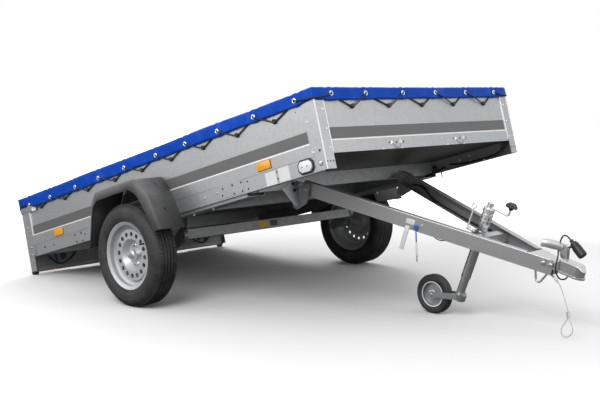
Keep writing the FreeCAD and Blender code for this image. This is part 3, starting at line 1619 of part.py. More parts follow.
def wheel_frame(sign):
    return FreeCAD.Placement(V(0, sign * float(wheel_plane), float(s.wheel_radius)), FreeCAD.Rotation())


def jockey_wheel_frame():
    here = FreeCAD.Placement(V(-float(s.trail), 0, -float(leg_reach)), FreeCAD.Rotation())
    return LEG_FRAME.multiply(here)


def build():
    """Makes every piece."""
    both("side_wall", side_wall, BOX_FRAME)
    put("front_wall", front_wall(), BOX_FRAME)
    both("side_rail", side_rail, BOX_FRAME)
    pair("rail_plates", rail_plate, BOX_FRAME)
    pair("front_posts", front_post, BOX_FRAME)
    pair("rear_posts", rear_post, BOX_FRAME)
    put("floor_panel", floor(), BOX_FRAME)
    faces = (s.hinge_member_face, s.axle_member_face, s.rear_member_face)
    members = [cross_member("cross_member", face) for face in faces]
    put("cross_members", group("cross_member_set", *members), BOX_FRAME)
    put("rear_sill", tail_member(), BOX_FRAME)
    put("rear_lamp_beam", lamp_beam(), BOX_FRAME)
    pair("tail_lamps", tail_lamp, BOX_FRAME)
    pair("tail_feet", tail_foot, BOX_FRAME)
    put("side_reflectors", side_reflectors(), BOX_FRAME)
    pair("marker_lamps", marker_lamp, BOX_FRAME)
    put("tailgate", tailgate(), BOX_FRAME)
    pair("gate_latches", gate_latch, BOX_FRAME)
    put("tarp_cover", tarp_top(), BOX_FRAME)
    put("tarp_rear_flap", tarp_flap(), BOX_FRAME)
    put("axle_beam", axle_beam(), BOX_FRAME)
    both("swing_arm", swing_arm, BOX_FRAME)
    pair("axle_brackets", axle_bracket, BOX_FRAME)
    pair("axle_carriers", axle_carrier, BOX_FRAME)
    both("mudguard", mudguard, BOX_FRAME)
    for side, sign in (("left", 1), ("right", -1)):
        put(f"tyre_{side}", road_tyre(f"tyre_{side}"), wheel_frame(sign))
        put(f"rim_{side}", road_rim(f"rim_{side}", sign), wheel_frame(sign))
    pair("hinge_brackets", hinge_bracket, BOX_FRAME)
    both("drawbar_beam", drawbar_beam, BAR_FRAME)
    put("coupling_head", coupling_head(), BAR_FRAME)
    put("coupling_handle", coupling_handle(), BAR_FRAME)
    put("coupling_foot", coupling_foot(), BAR_FRAME)
    put("plug", plug(), plug_frame())
    put("plug_holder", plug_holder(), BAR_FRAME)
    ball_frame = BAR_FRAME.multiply(FreeCAD.Placement(V(float(ball_station), 0, 0), FreeCAD.Rotation()))
    put("power_cable", cord("power_cable", POWER_CABLE_ROUTE, s.cable_radius), ball_frame)
    thin_frame = BAR_FRAME.multiply(beam_place(-1))
    put("thin_cable", cord("thin_cable", THIN_CABLE_ROUTE, s.thin_cable_radius), thin_frame)
    put("breakaway_rope", cord("breakaway_rope", ROPE_ROUTE, s.rope_radius), rope_frame())
    put("rope_ferrules", rope_ferrules(), rope_frame())
    put("jockey_crossbar", jockey_bar(), BAR_FRAME)
    put("jockey_clamp", clamp(), LEG_FRAME)
    put("clamp_handle", clamp_handle(), LEG_FRAME)
    put("jockey_tube", outer_tube(), LEG_FRAME)
    put("jockey_winder", winder(), LEG_FRAME)
    put("crank_knob", knob(), knob_frame())
    put("jockey_leg", inner_leg(), LEG_FRAME)
    put("jockey_fork", fork(), LEG_FRAME)
    put("jockey_tyre", jockey_tyre(), jockey_wheel_frame())
    put("jockey_rim", jockey_rim(), jockey_wheel_frame())


def centre_model():
    """Moves the whole trailer so that the middle of its length is at x = 0, and returns the move."""
    bounds = FreeCAD.BoundBox()
    for node in nodes:
        if node.Label not in cord_names:
            bounds.add(node.Shape.optimalBoundingBox(False))
    shift = V(-bounds.Center.x, 0, 0)
    for node in nodes:
        node.Placement = FreeCAD.Placement(shift, FreeCAD.Rotation()).multiply(node.Placement)
    return shift


def check():
    """Stops if any object failed or any piece is not a sound solid."""
    for thing in doc.Objects:
        if "Invalid" in thing.State or "Error" in thing.State:
            raise ValueError(f"{thing.Label}: {thing.State}")
    for node in nodes:
        if node.Shape.isNull() or not node.Shape.isValid() or not node.Shape.Solids:
            raise ValueError(f"{node.Label}: no valid solid")


def report(shift):
    """Prints the places that the joints and the mounts take."""
    def told(name, frame, x=0, y=0, z=0):
        spot = frame.multVec(V(float(x), float(y), float(z))) + shift
        print(f"{name}: {spot.x:.3f} {spot.y:.3f} {spot.z:.3f}")
    told("wheel_left", wheel_frame(1))
    told("wheel_right", wheel_frame(-1))
    told("hinge", BAR_FRAME)
    told("leg", LEG_FRAME)
    told("jockey_wheel", jockey_wheel_frame())
    told("gate_axis", BOX_FRAME, -s.box_rear + s.gate_axis_inset, 0, gate_axis_height)
    told("ball", BAR_FRAME, ball_station, 0, s.ball_height)
    told("ball mouth", BAR_FRAME, ball_station, 0, s.nose_bottom)
    told("leg foot", LEG_FRAME, 0, 0, leg_bottom)
    told("box origin", BOX_FRAME)
    told("rope start", rope_frame())
    bounds = FreeCAD.BoundBox()
    for node in nodes:
        bounds.add(node.Shape.optimalBoundingBox(False))
    print("bounds", bounds)
    print("volume litres", sum(node.Shape.Volume for node in nodes) / 1e6)
    for node in nodes:
        print(f"{node.Label}: {len(node.Shape.Solids)} solids, {node.Shape.Volume / 1000:.1f} cm3")


build()
doc.recompute()
shift = centre_model()
doc.recompute()
check()
report(shift)
os.makedirs("parts", exist_ok=True)
for node in nodes:
    node.Shape.exportStep(f"parts/{node.Label}.step")
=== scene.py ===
"""Looks of a parked tipping trailer: finishes, laced cover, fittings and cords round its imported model.

Lengths are metres and angles degrees, unless a name says otherwise. Places on the box are given as if it
stood level, with x forward from the axle, y to the left and z up from the ground, and ``BOX.at`` leans them
back with it. Places on the drawbar run along it from its hinge, and places on the jockey leg up along it. A
``sign`` is 1 on the left and -1 on the right, and a piece is built on both sides by one loop over ``SIDES``.
"""

import json
import logging
import math
from dataclasses import dataclass
from enum import Enum

import bmesh
import bpy
from mathutils import Matrix, Vector, noise


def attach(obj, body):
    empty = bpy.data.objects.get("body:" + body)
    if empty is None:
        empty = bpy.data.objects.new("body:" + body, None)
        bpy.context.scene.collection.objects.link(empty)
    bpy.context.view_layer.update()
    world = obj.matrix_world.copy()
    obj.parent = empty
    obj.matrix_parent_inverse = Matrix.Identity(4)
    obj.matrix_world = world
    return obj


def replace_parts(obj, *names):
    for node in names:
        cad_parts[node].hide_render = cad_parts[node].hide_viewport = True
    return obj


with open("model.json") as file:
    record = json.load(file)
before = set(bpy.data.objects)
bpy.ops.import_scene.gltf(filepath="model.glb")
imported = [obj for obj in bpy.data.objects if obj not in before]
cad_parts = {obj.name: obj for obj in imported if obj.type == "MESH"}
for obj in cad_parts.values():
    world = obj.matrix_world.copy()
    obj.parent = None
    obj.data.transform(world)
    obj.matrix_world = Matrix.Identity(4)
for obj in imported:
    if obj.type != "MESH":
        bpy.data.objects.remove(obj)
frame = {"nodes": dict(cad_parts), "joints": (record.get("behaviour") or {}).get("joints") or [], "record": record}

LOG = logging.getLogger("trailer")
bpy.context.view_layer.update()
SIDES = {"left": 1, "right": -1}

Triple = tuple[float, float, float]
Pairs = list[tuple[float, float]]
Socket = bpy.types.NodeSocket


def joint(name: str) -> dict:
    """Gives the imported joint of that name."""
    return next(entry for entry in frame["joints"] if entry["name"] == name)


def mount(name: str) -> dict:
    """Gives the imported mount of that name."""
    return next(entry for entry in frame["record"]["mounts"] if entry["name"] == name)


def turn(angle: float, axis: str) -> Matrix:
    """Gives a turn of so many degrees about an axis."""
    return Matrix.Rotation(math.radians(angle), 4, axis)


def shift(x: float, y: float, z: float) -> Matrix:
    """Gives a shift along the axes."""
    return Matrix.Translation((x, y, z))


def aimed(place: Vector | Triple, way: Vector | Triple, axis: str = "Z") -> Matrix:
    """Gives a place one of whose own axes runs a certain way."""
    return Matrix.Translation(place) @ Vector(way).to_track_quat(axis, "Y").to_matrix().to_4x4()


@dataclass(frozen=True)
class Datum:
    """Axes of one part of the trailer, leaned about y.

    Attributes:
        origin: Where the axes start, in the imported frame.
        lean: How far the nose of the x axis is down, in radians.
    """

    origin: Vector
    lean: float

    @property
    def matrix(self) -> Matrix:
        """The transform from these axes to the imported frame."""
        return Matrix.Translation(self.origin) @ Matrix.Rotation(self.lean, 4, "Y")

    def at(self, x: float, y: float, z: float) -> Vector:
        """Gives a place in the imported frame."""
        return self.matrix @ Vector((x, y, z))

    def along(self, x: float, y: float, z: float) -> Matrix:
        """Gives a place whose own axes run along these."""
        return self.matrix @ shift(x, y, z)

    def facing(self, x: float, y: float, z: float, axis: Triple) -> Matrix:
        """Gives a place whose own z runs along one of these directions."""
        return self.matrix @ aimed((x, y, z), axis)

    def flank(self, sign: int, x: float, y: float, z: float) -> Matrix:
        """Gives a place on one side that faces outwards, y from the middle."""
        return self.facing(x, sign * y, z, (0, sign, 0))

    def ahead(self, x: float, y: float, z: float) -> Matrix:
        """Gives a place that faces forward."""
        return self.facing(x, y, z, (1, 0, 0))

    def side(self, y: float) -> Matrix:
        """Gives an upright plane along x: its own x and y are x and z here, and it faces right."""
        return self.along(0, y, 0) @ turn(90, "X")

    def front(self, x: float) -> Matrix:
        """Gives an upright plane across: its own x and y are y and z here, and it faces forward."""
        return self.along(x, 0, 0) @ Matrix(((0, 0, 1, 0), (1, 0, 0, 0), (0, 1, 0, 0), (0, 0, 0, 1)))


def leaned_back() -> Datum:
    """Gives the axes of the tipped box, from its floor's normal and its axle."""
    normal = mount("load_floor")["axis"]
    lean = -math.atan2(-normal[0], normal[2])
    wheel = Vector(joint("wheel_left_spin")["pos_m"])
    axle = Vector((wheel.x, 0, wheel.z))
    return Datum(axle - Matrix.Rotation(lean, 3, "Y") @ Vector((0, 0, wheel.z)), lean)


def along_drawbar() -> Datum:
    """Gives the axes of the drawbar, from its hinge and the ball socket."""
    down = mount("ball_socket")["axis"]
    return Datum(Vector(joint("drawbar_tilt")["pos_m"]), math.atan2(-down[0], -down[2]))


def up_the_leg() -> Datum:
    """Gives the axes of the jockey leg, from its foot and its slide."""
    down = joint("jockey_leg_slide")["axis"]
    return Datum(Vector(joint("jockey_swivel")["pos_m"]), math.atan2(-down[0], -down[2]))


BOX = leaned_back()
BAR = along_drawbar()
LEG = up_the_leg()
BEAM_ROOT = 0.410
SPLAY = 17.236


def beam(sign: int) -> Matrix:
    """Gives the axes of one side's drawbar beam: it starts BEAM_ROOT out and turns inwards by SPLAY."""
    return BAR.matrix @ shift(0, sign * BEAM_ROOT, 0) @ turn(-sign * SPLAY, "Z")


class Slot(Enum):
    """The record's material slots, which the finishes name."""

    GALVANISED = "galvanised"
    TARPAULIN = "tarpaulin"
    TYRE = "tyre"
    ZINC = "zinc_steel"
    BLACK = "black_plastic"
    GUARD = "guard_plastic"
    AMBER = "amber_plastic"
    RED = "red_plastic"
    CLEAR = "clear_plastic"
    CABLE = "cable"
    ROPE = "rope"


class Nodes:
    """The shader nodes of one material or sky, with short calls to add and join them."""

    def __init__(self, owner: bpy.types.Material | bpy.types.World, frame_of: str = "Object") -> None:
        """Takes over a material's or a sky's nodes.

        Args:
            owner: The new material or sky.
            frame_of: The coordinates that its patterns read.
        """
        self.owner = owner
        owner.use_nodes = True
        self.tree = owner.node_tree
        self.place = self.add("TexCoord").outputs[frame_of]

    def fill(self, node: bpy.types.Node, **inputs: object) -> bpy.types.Node:
        """Sets or joins a node's inputs.

        Args:
            node: The node.
            **inputs: Values or sockets by input name, with _ for a space.

        Returns:
            The node.
        """
        for name, value in inputs.items():
            socket = node.inputs[name.replace("_", " ")]
            if isinstance(value, Socket):
                self.tree.links.new(value, socket)
            else:
                socket.default_value = value
        return node

    def add(self, kind: str, **inputs: object) -> bpy.types.Node:
        """Adds a node of a kind and fills its inputs."""
        return self.fill(self.tree.nodes.new(f"ShaderNode{kind}"), **inputs)

    def stretched(self, scale: Triple) -> Socket:
        """Gives the coordinates stretched along the axes."""
        return self.add("Mapping", Vector=self.place, Scale=scale).outputs["Vector"]

    def noise(self, scale: float, detail: float = 3.0, vector: Socket | None = None) -> Socket:
        """Gives a cloudy pattern from 0 to 1."""
        node = self.add("TexNoise", Vector=vector or self.place, Scale=scale, Detail=detail)
        return node.outputs["Fac"]

    def cells(self, scale: float, randomness: float) -> bpy.types.Node:
        """Gives a pattern of cells, so many to a metre."""
        return self.add("TexVoronoi", Vector=self.place, Scale=scale, Randomness=randomness)

    def ramp(self, value: Socket, low: float, high: float, start: float = 0.0, end: float = 1.0) -> Socket:
        """Gives a value brought from the range start to end into the range low to high."""
        node = self.add("MapRange", Value=value, From_Min=start, From_Max=end, To_Min=low, To_Max=high)
        return node.outputs["Result"]

    def tint(self, value: Socket, colours: list[tuple[float, Triple]]) -> Socket:
        """Gives a colour from a ramp of stops along a value."""
        node = self.add("ValToRGB", Fac=value)
        stops = node.color_ramp.elements
        while len(stops) < len(colours):
            stops.new(0.5)
        for stop, (place, colour) in zip(stops, colours):
            stop.position = place
            stop.color = (*colour, 1)
        return node.outputs["Color"]

    def joined(self, operation: str, first: Socket, second: Socket) -> Socket:
        """Gives the outcome of an operation on two values."""
        node = self.add("Math")
        node.operation = operation
        self.tree.links.new(first, node.inputs[0])
        self.tree.links.new(second, node.inputs[1])
        return node.outputs["Value"]

    def bump(self, height: Socket, strength: float, distance: float, normal: Socket | None = None) -> Socket:
        """Gives a surface normal raised by a pattern."""
        node = self.add("Bump", Height=height, Strength=strength, Distance=distance)
        if normal:
            self.fill(node, Normal=normal)
        return node.outputs["Normal"]

    def finish(self, **inputs: object) -> bpy.types.Material:
        """Fills the shader's inputs and gives the material."""
        self.fill(self.tree.nodes["Principled BSDF"], **inputs)
        return self.owner


def grey(tone: float) -> Triple:
    """Gives a grey."""
    return tone, tone, tone


def shade(colour: Triple, factor: float) -> Triple:
    """Gives a lighter or darker tone of a colour."""
    return tuple(min(1.0, part * factor) for part in colour)


@dataclass(frozen=True)
class Finish:
    """A finish, whose material is built once.

    Attributes:
        name: Its material's name.
        slot: The record's slot that it stands for; not used.
    """

    name: str
    slot: Slot = Slot.ZINC

    def build(self, nodes: Nodes) -> bpy.types.Material:
        """Builds the material on fresh nodes."""
        raise NotImplementedError

    def material(self) -> bpy.types.Material:
        """Gives the finish's material."""
        return bpy.data.materials.get(self.name) or self.build(Nodes(bpy.data.materials.new(self.name)))


@dataclass(frozen=True)
class ZincCoat(Finish):
    """Hot-dip or bright zinc on steel: soft spangle, long stains and a fine tooth.

    Attributes:
        colour: The middle tone.
        metallic: How much of it is bare metal.
        roughness: The mean roughness.
        spangle: How many crystals there are to a metre.
        contrast: How far the tones part from the middle.
        stain: How many stains there are to a metre, across and up.
    """

    colour: Triple = (0.44, 0.45, 0.46)
    metallic: float = 0.75
    roughness: float = 0.4
    spangle: float = 90.0
    contrast: float = 0.06
    stain: Triple = (1.2, 1.2, 5.0)

    def build(self, nodes: Nodes) -> bpy.types.Material:
        """Builds the material on fresh nodes."""
        crystal = nodes.cells(self.spangle, 1.0).outputs["Color"]
        tone = nodes.add("RGBToBW", Color=crystal).outputs["Val"]
        cloud = nodes.noise(1.0, 5.0, nodes.stretched(self.stain))
        mixed = nodes.add("Mix", Factor=0.55, A=tone, B=cloud)
        tones = [
            (0.3, shade(self.colour, 1 - self.contrast)), (0.5, self.colour),
            (0.7, shade(self.colour, 1 + self.contrast)),
        ]
        colour = nodes.tint(mixed.outputs["Result"], tones)
        rough = nodes.ramp(nodes.noise(40.0, 4.0), self.roughness - 0.06, self.roughness + 0.08)
        tooth = nodes.bump(nodes.noise(900.0, 2.0), 0.12, 0.0003)
        return nodes.finish(Base_Color=colour, Metallic=self.metallic, Roughness=rough, Normal=tooth)


@dataclass(frozen=True)
class Paint(Finish):
    """Sprayed or moulded colour with faint mottling and a fine skin.

    Attributes:
        slot: The record's slot that it stands for; not used.
        colour: The middle tone.
        roughness: The mean roughness.
        metallic: How metallic the paint is.
        grain: How many grains of the skin there are to a metre.
        tooth: How deep the skin is.
        mottle: How far the tones part from the middle.
    """

    slot: Slot = Slot.BLACK
    colour: Triple = (0.5, 0.5, 0.5)
    roughness: float = 0.45
    metallic: float = 0.0
    grain: float = 700.0
    tooth: float = 0.15
    mottle: float = 0.08

    def build(self, nodes: Nodes) -> bpy.types.Material:
        """Builds the material on fresh nodes."""
        cloud = nodes.noise(9.0, 6.0)
        tones = [(0.35, shade(self.colour, 1 - self.mottle)), (0.65, shade(self.colour, 1 + self.mottle))]
        rough = nodes.ramp(nodes.noise(60.0, 3.0), self.roughness - 0.05, self.roughness + 0.07)
        skin = nodes.bump(nodes.noise(self.grain, 3.0), self.tooth, 0.0004)
        return nodes.finish(
            Base_Color=nodes.tint(cloud, tones), Metallic=self.metallic, Roughness=rough, Normal=skin,
        )


@dataclass(frozen=True)
class Rubber(Finish):
    """Tyre rubber: nearly black, with dusty patches.

    Attributes:
        slot: The record's slot that it stands for; not used.
        colour: The clean tone.
        dust: The tone of the dust.
    """

    slot: Slot = Slot.TYRE
    colour: Triple = (0.018, 0.018, 0.019)
    dust: Triple = (0.05, 0.05, 0.05)

    def build(self, nodes: Nodes) -> bpy.types.Material:
        """Builds the material on fresh nodes."""
        cloud = nodes.noise(14.0, 7.0)
        colour = nodes.tint(cloud, [(0.4, self.colour), (0.72, self.dust)])
        rough = nodes.ramp(cloud, 0.5, 0.75)
        skin = nodes.bump(nodes.noise(1400.0, 2.0), 0.2, 0.0003)
        return nodes.finish(Base_Color=colour, Roughness=rough, Normal=skin)


@dataclass(frozen=True)
class Plywood(Finish):
    """Brown film-faced plywood: a wire pattern pressed into a resin film over faint grain.

    Attributes:
        colour: The film's tone: its own dark brown, darkened further as painted shade.
        pattern: How many wires of the pattern there are to a metre.
    """

    colour: Triple = (0.030, 0.026, 0.023)
    pattern: float = 260.0

    def build(self, nodes: Nodes) -> bpy.types.Material:
        """Builds the material on fresh nodes."""
        grain = nodes.noise(6.0, 8.0, nodes.stretched((1.0, 9.0, 1.0)))
        colour = nodes.tint(grain, [(0.3, shade(self.colour, 0.75)), (0.7, shade(self.colour, 1.5))])
        film = nodes.bump(nodes.cells(self.pattern, 0.0).outputs["Distance"], 0.2, 0.0006)
        rough = nodes.ramp(grain, 0.32, 0.5)
        return nodes.finish(Base_Color=colour, Roughness=rough, Normal=film)


@dataclass(frozen=True)
class Lens(Finish):
    """Lamp or reflector glass: tinted, glossy, with prisms moulded behind its face, painted glints on them and a faint
    painted glow.

    Attributes:
        slot: The record's slot that it stands for; not used.
        colour: The tint.
        prisms: How many prisms there are to a metre.
        glow: How strongly it glows: painted light that stands for what the prisms throw back.
    """

    slot: Slot = Slot.AMBER
    colour: Triple = (0.9, 0.3, 0.0)
    prisms: float = 330.0
    glow: float = 0.12

    def build(self, nodes: Nodes) -> bpy.types.Material:
        """Builds the material on fresh nodes."""
        prism = nodes.cells(self.prisms, 0.15).outputs["Distance"]
        # Each prism is painted lighter in its middle and darker at its edges: painted glints.
        colour = nodes.tint(prism, [(0.0, shade(self.colour, 1.25)), (0.8, shade(self.colour, 0.6))])
        facets = nodes.bump(prism, 0.35, 0.0012)
        return nodes.finish(
            Base_Color=colour, Roughness=0.16, Normal=facets, Coat_Weight=0.35, Coat_Roughness=0.08,
            Emission_Color=(*self.colour, 1), Emission_Strength=self.glow,
        )


@dataclass(frozen=True)
class Tarpaulin(Finish):
    """Blue coated cloth: a scrim that shows through the coating, soft scuffs, creases and paler patches of painted
    sheen.

    Attributes:
        slot: The record's slot that it stands for; not used.
        colour: The cloth's blue.
        pale: Its paler blue in random patches: painted sheen.
        threads: How many threads of the scrim there are to a metre.
    """

    slot: Slot = Slot.TARPAULIN
    colour: Triple = (0.0, 0.066, 0.50)
    pale: Triple = (0.016, 0.100, 0.58)
    threads: float = 900.0

    def build(self, nodes: Nodes) -> bpy.types.Material:
        """Builds the material on fresh nodes."""
        along = nodes.add("UVMap").outputs["UV"]
        waves = []
        for direction in ("X", "Y"):
            wave = nodes.add("TexWave", Vector=along, Scale=self.threads / (2 * math.pi))
            wave.bands_direction = direction
            waves.append(wave.outputs["Fac"])
        scrim = nodes.joined("MULTIPLY", *waves)
        cloud = nodes.noise(11.0, 6.0)
        # The palest stop paints sheen in random patches.
        colour = nodes.tint(cloud, [(0.34, shade(self.colour, 0.90)), (0.55, self.colour), (0.72, self.pale)])
        rough = nodes.ramp(cloud, 0.42, 0.3)
        creases = nodes.bump(nodes.noise(26.0, 7.0), 0.35, 0.004)
        weave = nodes.bump(scrim, 0.18, 0.0003, creases)
        return nodes.finish(Base_Color=colour, Roughness=rough, Normal=weave, Specular_IOR_Level=0.1)


@dataclass(frozen=True)
class Braid(Finish):
    """Braided elastic or rope: two threads crossing round its length.

    Attributes:
        slot: The record's slot that it stands for; not used.
        colour: The thread's tone.
        pitch: How many crossings there are to a metre.
    """

    slot: Slot = Slot.ROPE
    colour: Triple = (0.012, 0.012, 0.013)
    pitch: float = 420.0

    def build(self, nodes: Nodes) -> bpy.types.Material:
        """Builds the material on fresh nodes."""
        knit = nodes.cells(self.pitch, 0.2).outputs["Distance"]
        # The threads are painted lighter in their middles and darker between them, following the relief: painted
        # highlight and shade.
        colour = nodes.tint(knit, [(0.1, shade(self.colour, 2.2)), (0.7, shade(self.colour, 0.6))])
        relief = nodes.bump(knit, 0.5, 0.0006)
        return nodes.finish(Base_Color=colour, Roughness=0.62, Normal=relief)


GALVANISED = ZincCoat("sheet_zinc", slot=Slot.GALVANISED)
BEAM_ZINC = ZincCoat("beam_zinc", colour=(0.36, 0.37, 0.38), roughness=0.46, spangle=60.0, contrast=0.1)
# A darker zinc for the axle and swing arms under the box: painted shade.
AXLE_ZINC = ZincCoat("axle_zinc", colour=(0.24, 0.245, 0.25), roughness=0.5, spangle=40.0, contrast=0.16)
SHADOW_ZINC = ZincCoat("shadow_zinc", slot=Slot.GALVANISED, colour=(0.17, 0.172, 0.175), roughness=0.55)
DRAWBAR_ZINC = ZincCoat("drawbar_zinc", colour=(0.50, 0.50, 0.51), roughness=0.42, spangle=160.0, contrast=0.05)
HINGE_ZINC = ZincCoat("hinge_zinc", colour=(0.42, 0.43, 0.44), roughness=0.4, spangle=260.0, contrast=0.05)
BRIGHT_ZINC = ZincCoat(
    "bright_zinc", colour=(0.56, 0.57, 0.58), metallic=0.9, roughness=0.28, spangle=220.0, contrast=0.05,
)
# Zinc of the coupling and its lever, made lighter all over to paint the bright highlight along its top.
COUPLING_ZINC = ZincCoat(
    "coupling_zinc", colour=grey(0.60), metallic=0.9, roughness=0.24, spangle=300.0, contrast=0.04,
)
CAP_ZINC = ZincCoat("cap_zinc", colour=grey(0.74), metallic=0.9, roughness=0.24, spangle=300.0, contrast=0.04)
POLISHED = ZincCoat("polished_zinc", colour=grey(0.82), roughness=0.34)
EYELET = ZincCoat("eyelet_zinc", colour=grey(0.80), roughness=0.28)
# Near-white paint for painted highlights along bends and edges, and painted glints on small bright parts.
PAINTED_HIGHLIGHT = Paint(
    "painted_highlight", slot=Slot.ZINC, colour=grey(0.92), roughness=0.34, metallic=0.2, grain=300.0, tooth=0.03,
    mottle=0.03,
)
RIM_PAINT = Paint(
    "rim_silver", colour=(0.5, 0.51, 0.52), roughness=0.44, metallic=0.45, grain=1500.0, tooth=0.05, mottle=0.04,
)
GUARD = Paint(
    "guard_grain", slot=Slot.GUARD, colour=(0.138, 0.138, 0.139), roughness=0.62, grain=1100.0, tooth=0.5,
    mottle=0.12,
)
BLACK = Paint("black_moulding", colour=(0.018, 0.018, 0.019), roughness=0.42, grain=900.0, tooth=0.2, mottle=0.15)
STRIPE = Paint(
    "grey_stripe", slot=Slot.GALVANISED, colour=(0.13, 0.13, 0.132), roughness=0.38, grain=400.0, tooth=0.03,
    mottle=0.03,
)
WHITE_LABEL = Paint("white_label", colour=grey(0.78), roughness=0.4, tooth=0.02, mottle=0.02)
YELLOW_LABEL = Paint("yellow_label", colour=(0.72, 0.44, 0.03), roughness=0.42, tooth=0.02, mottle=0.06)
BLUE_STRAP = Paint("blue_strap", colour=(0.02, 0.14, 0.55), roughness=0.6, tooth=0.3, mottle=0.1)
GREEN_LABEL = Paint("green_label", colour=(0.2, 0.42, 0.16), roughness=0.5, tooth=0.02, mottle=0.05)
# Near-black paint for painted shade inside holes and on the hinge nuts.
PAINTED_SHADE = Paint("painted_shade", colour=grey(0.004), roughness=0.8, tooth=0.02, mottle=0.02)
SHEATH = Paint("cable_sheath", colour=(0.009, 0.009, 0.010), roughness=0.55, grain=500.0, tooth=0.06, mottle=0.1)
TYRE = Rubber("tyre_rubber")
FOOT = Rubber("foot_rubber", colour=grey(0.014))
# The floor's film is darkened: partly its own dark brown, partly painted shade under the box.
FLOOR_BOARD = Plywood("film_plywood")
# The amber glows more strongly: painted light on reflectors that are no lamps.
AMBER = Lens("amber_lens", colour=(0.95, 0.37, 0.0), glow=0.24)
RED = Lens("red_lens", slot=Slot.RED, colour=(0.5, 0.01, 0.01))
CLEAR = Lens("clear_lens", slot=Slot.CLEAR, colour=(0.82, 0.84, 0.86), prisms=180.0)
COVER_CLOTH = Tarpaulin("blue_tarpaulin")
ELASTIC = Braid("elastic_cord", slot=Slot.BLACK)
STEEL_ROPE = Braid("steel_rope", colour=grey(0.62), pitch=900.0)


def shown(name: str, data: bpy.types.ID) -> bpy.types.Object:
    """Puts an object into the scene."""
    made = bpy.data.objects.new(name, data)
    bpy.context.scene.collection.objects.link(made)
    return made


def riding(piece: bpy.types.Object, body: str) -> bpy.types.Object:
    """Sets a piece on its body and logs which body that is."""
    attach(piece, body)
    LOG.info("%s rides on %s", piece.name, body)
    return piece


def smooth_mesh(bm: bmesh.types.BMesh, name: str, finish: Finish, sharp: float | None = None) -> bpy.types.Mesh:
    """Makes a smooth mesh of one finish, with edges crisp that turn by more than so many degrees."""
    mesh = bpy.data.meshes.new(name)
    bm.to_mesh(mesh)
    bm.free()
    mesh.shade_smooth()
    if sharp:
        mesh.set_sharp_from_angle(angle=math.radians(sharp))
    mesh.materials.append(finish.material())
    return mesh


def walled(piece: bpy.types.Object, thick: float, even: bool = False) -> None:
    """Gives an open surface its wall, half to each side."""
    wall = piece.modifiers.new("wall", "SOLIDIFY")
    wall.thickness, wall.offset, wall.use_even_offset = thick, 0.0, even


def sewn(bm: bmesh.types.BMesh, grid: list[list]) -> None:
    """Joins lines of vertices with faces."""
    for near, far in zip(grid, grid[1:]):
        for spot in range(len(near) - 1):
            bm.faces.new((near[spot], far[spot], far[spot + 1], near[spot + 1]))


def rectangle(left: float, right: float, low: float, high: float) -> Pairs:
    """Gives a rectangle's corners."""
    return [(left, low), (right, low), (right, high), (left, high)]


def rounded(left: float, right: float, low: float, high: float, r: float = 0.003) -> Pairs:
    """Gives the outline of a rectangle with rounded corners."""
    middles = rectangle(left + r, right - r, low + r, high - r)
    return [
        (x + r * math.cos(math.radians(start + step)), y + r * math.sin(math.radians(start + step)))
        for (x, y), start in zip(middles, (180, 270, 0, 90)) for step in (0, 30, 60, 90)
    ]


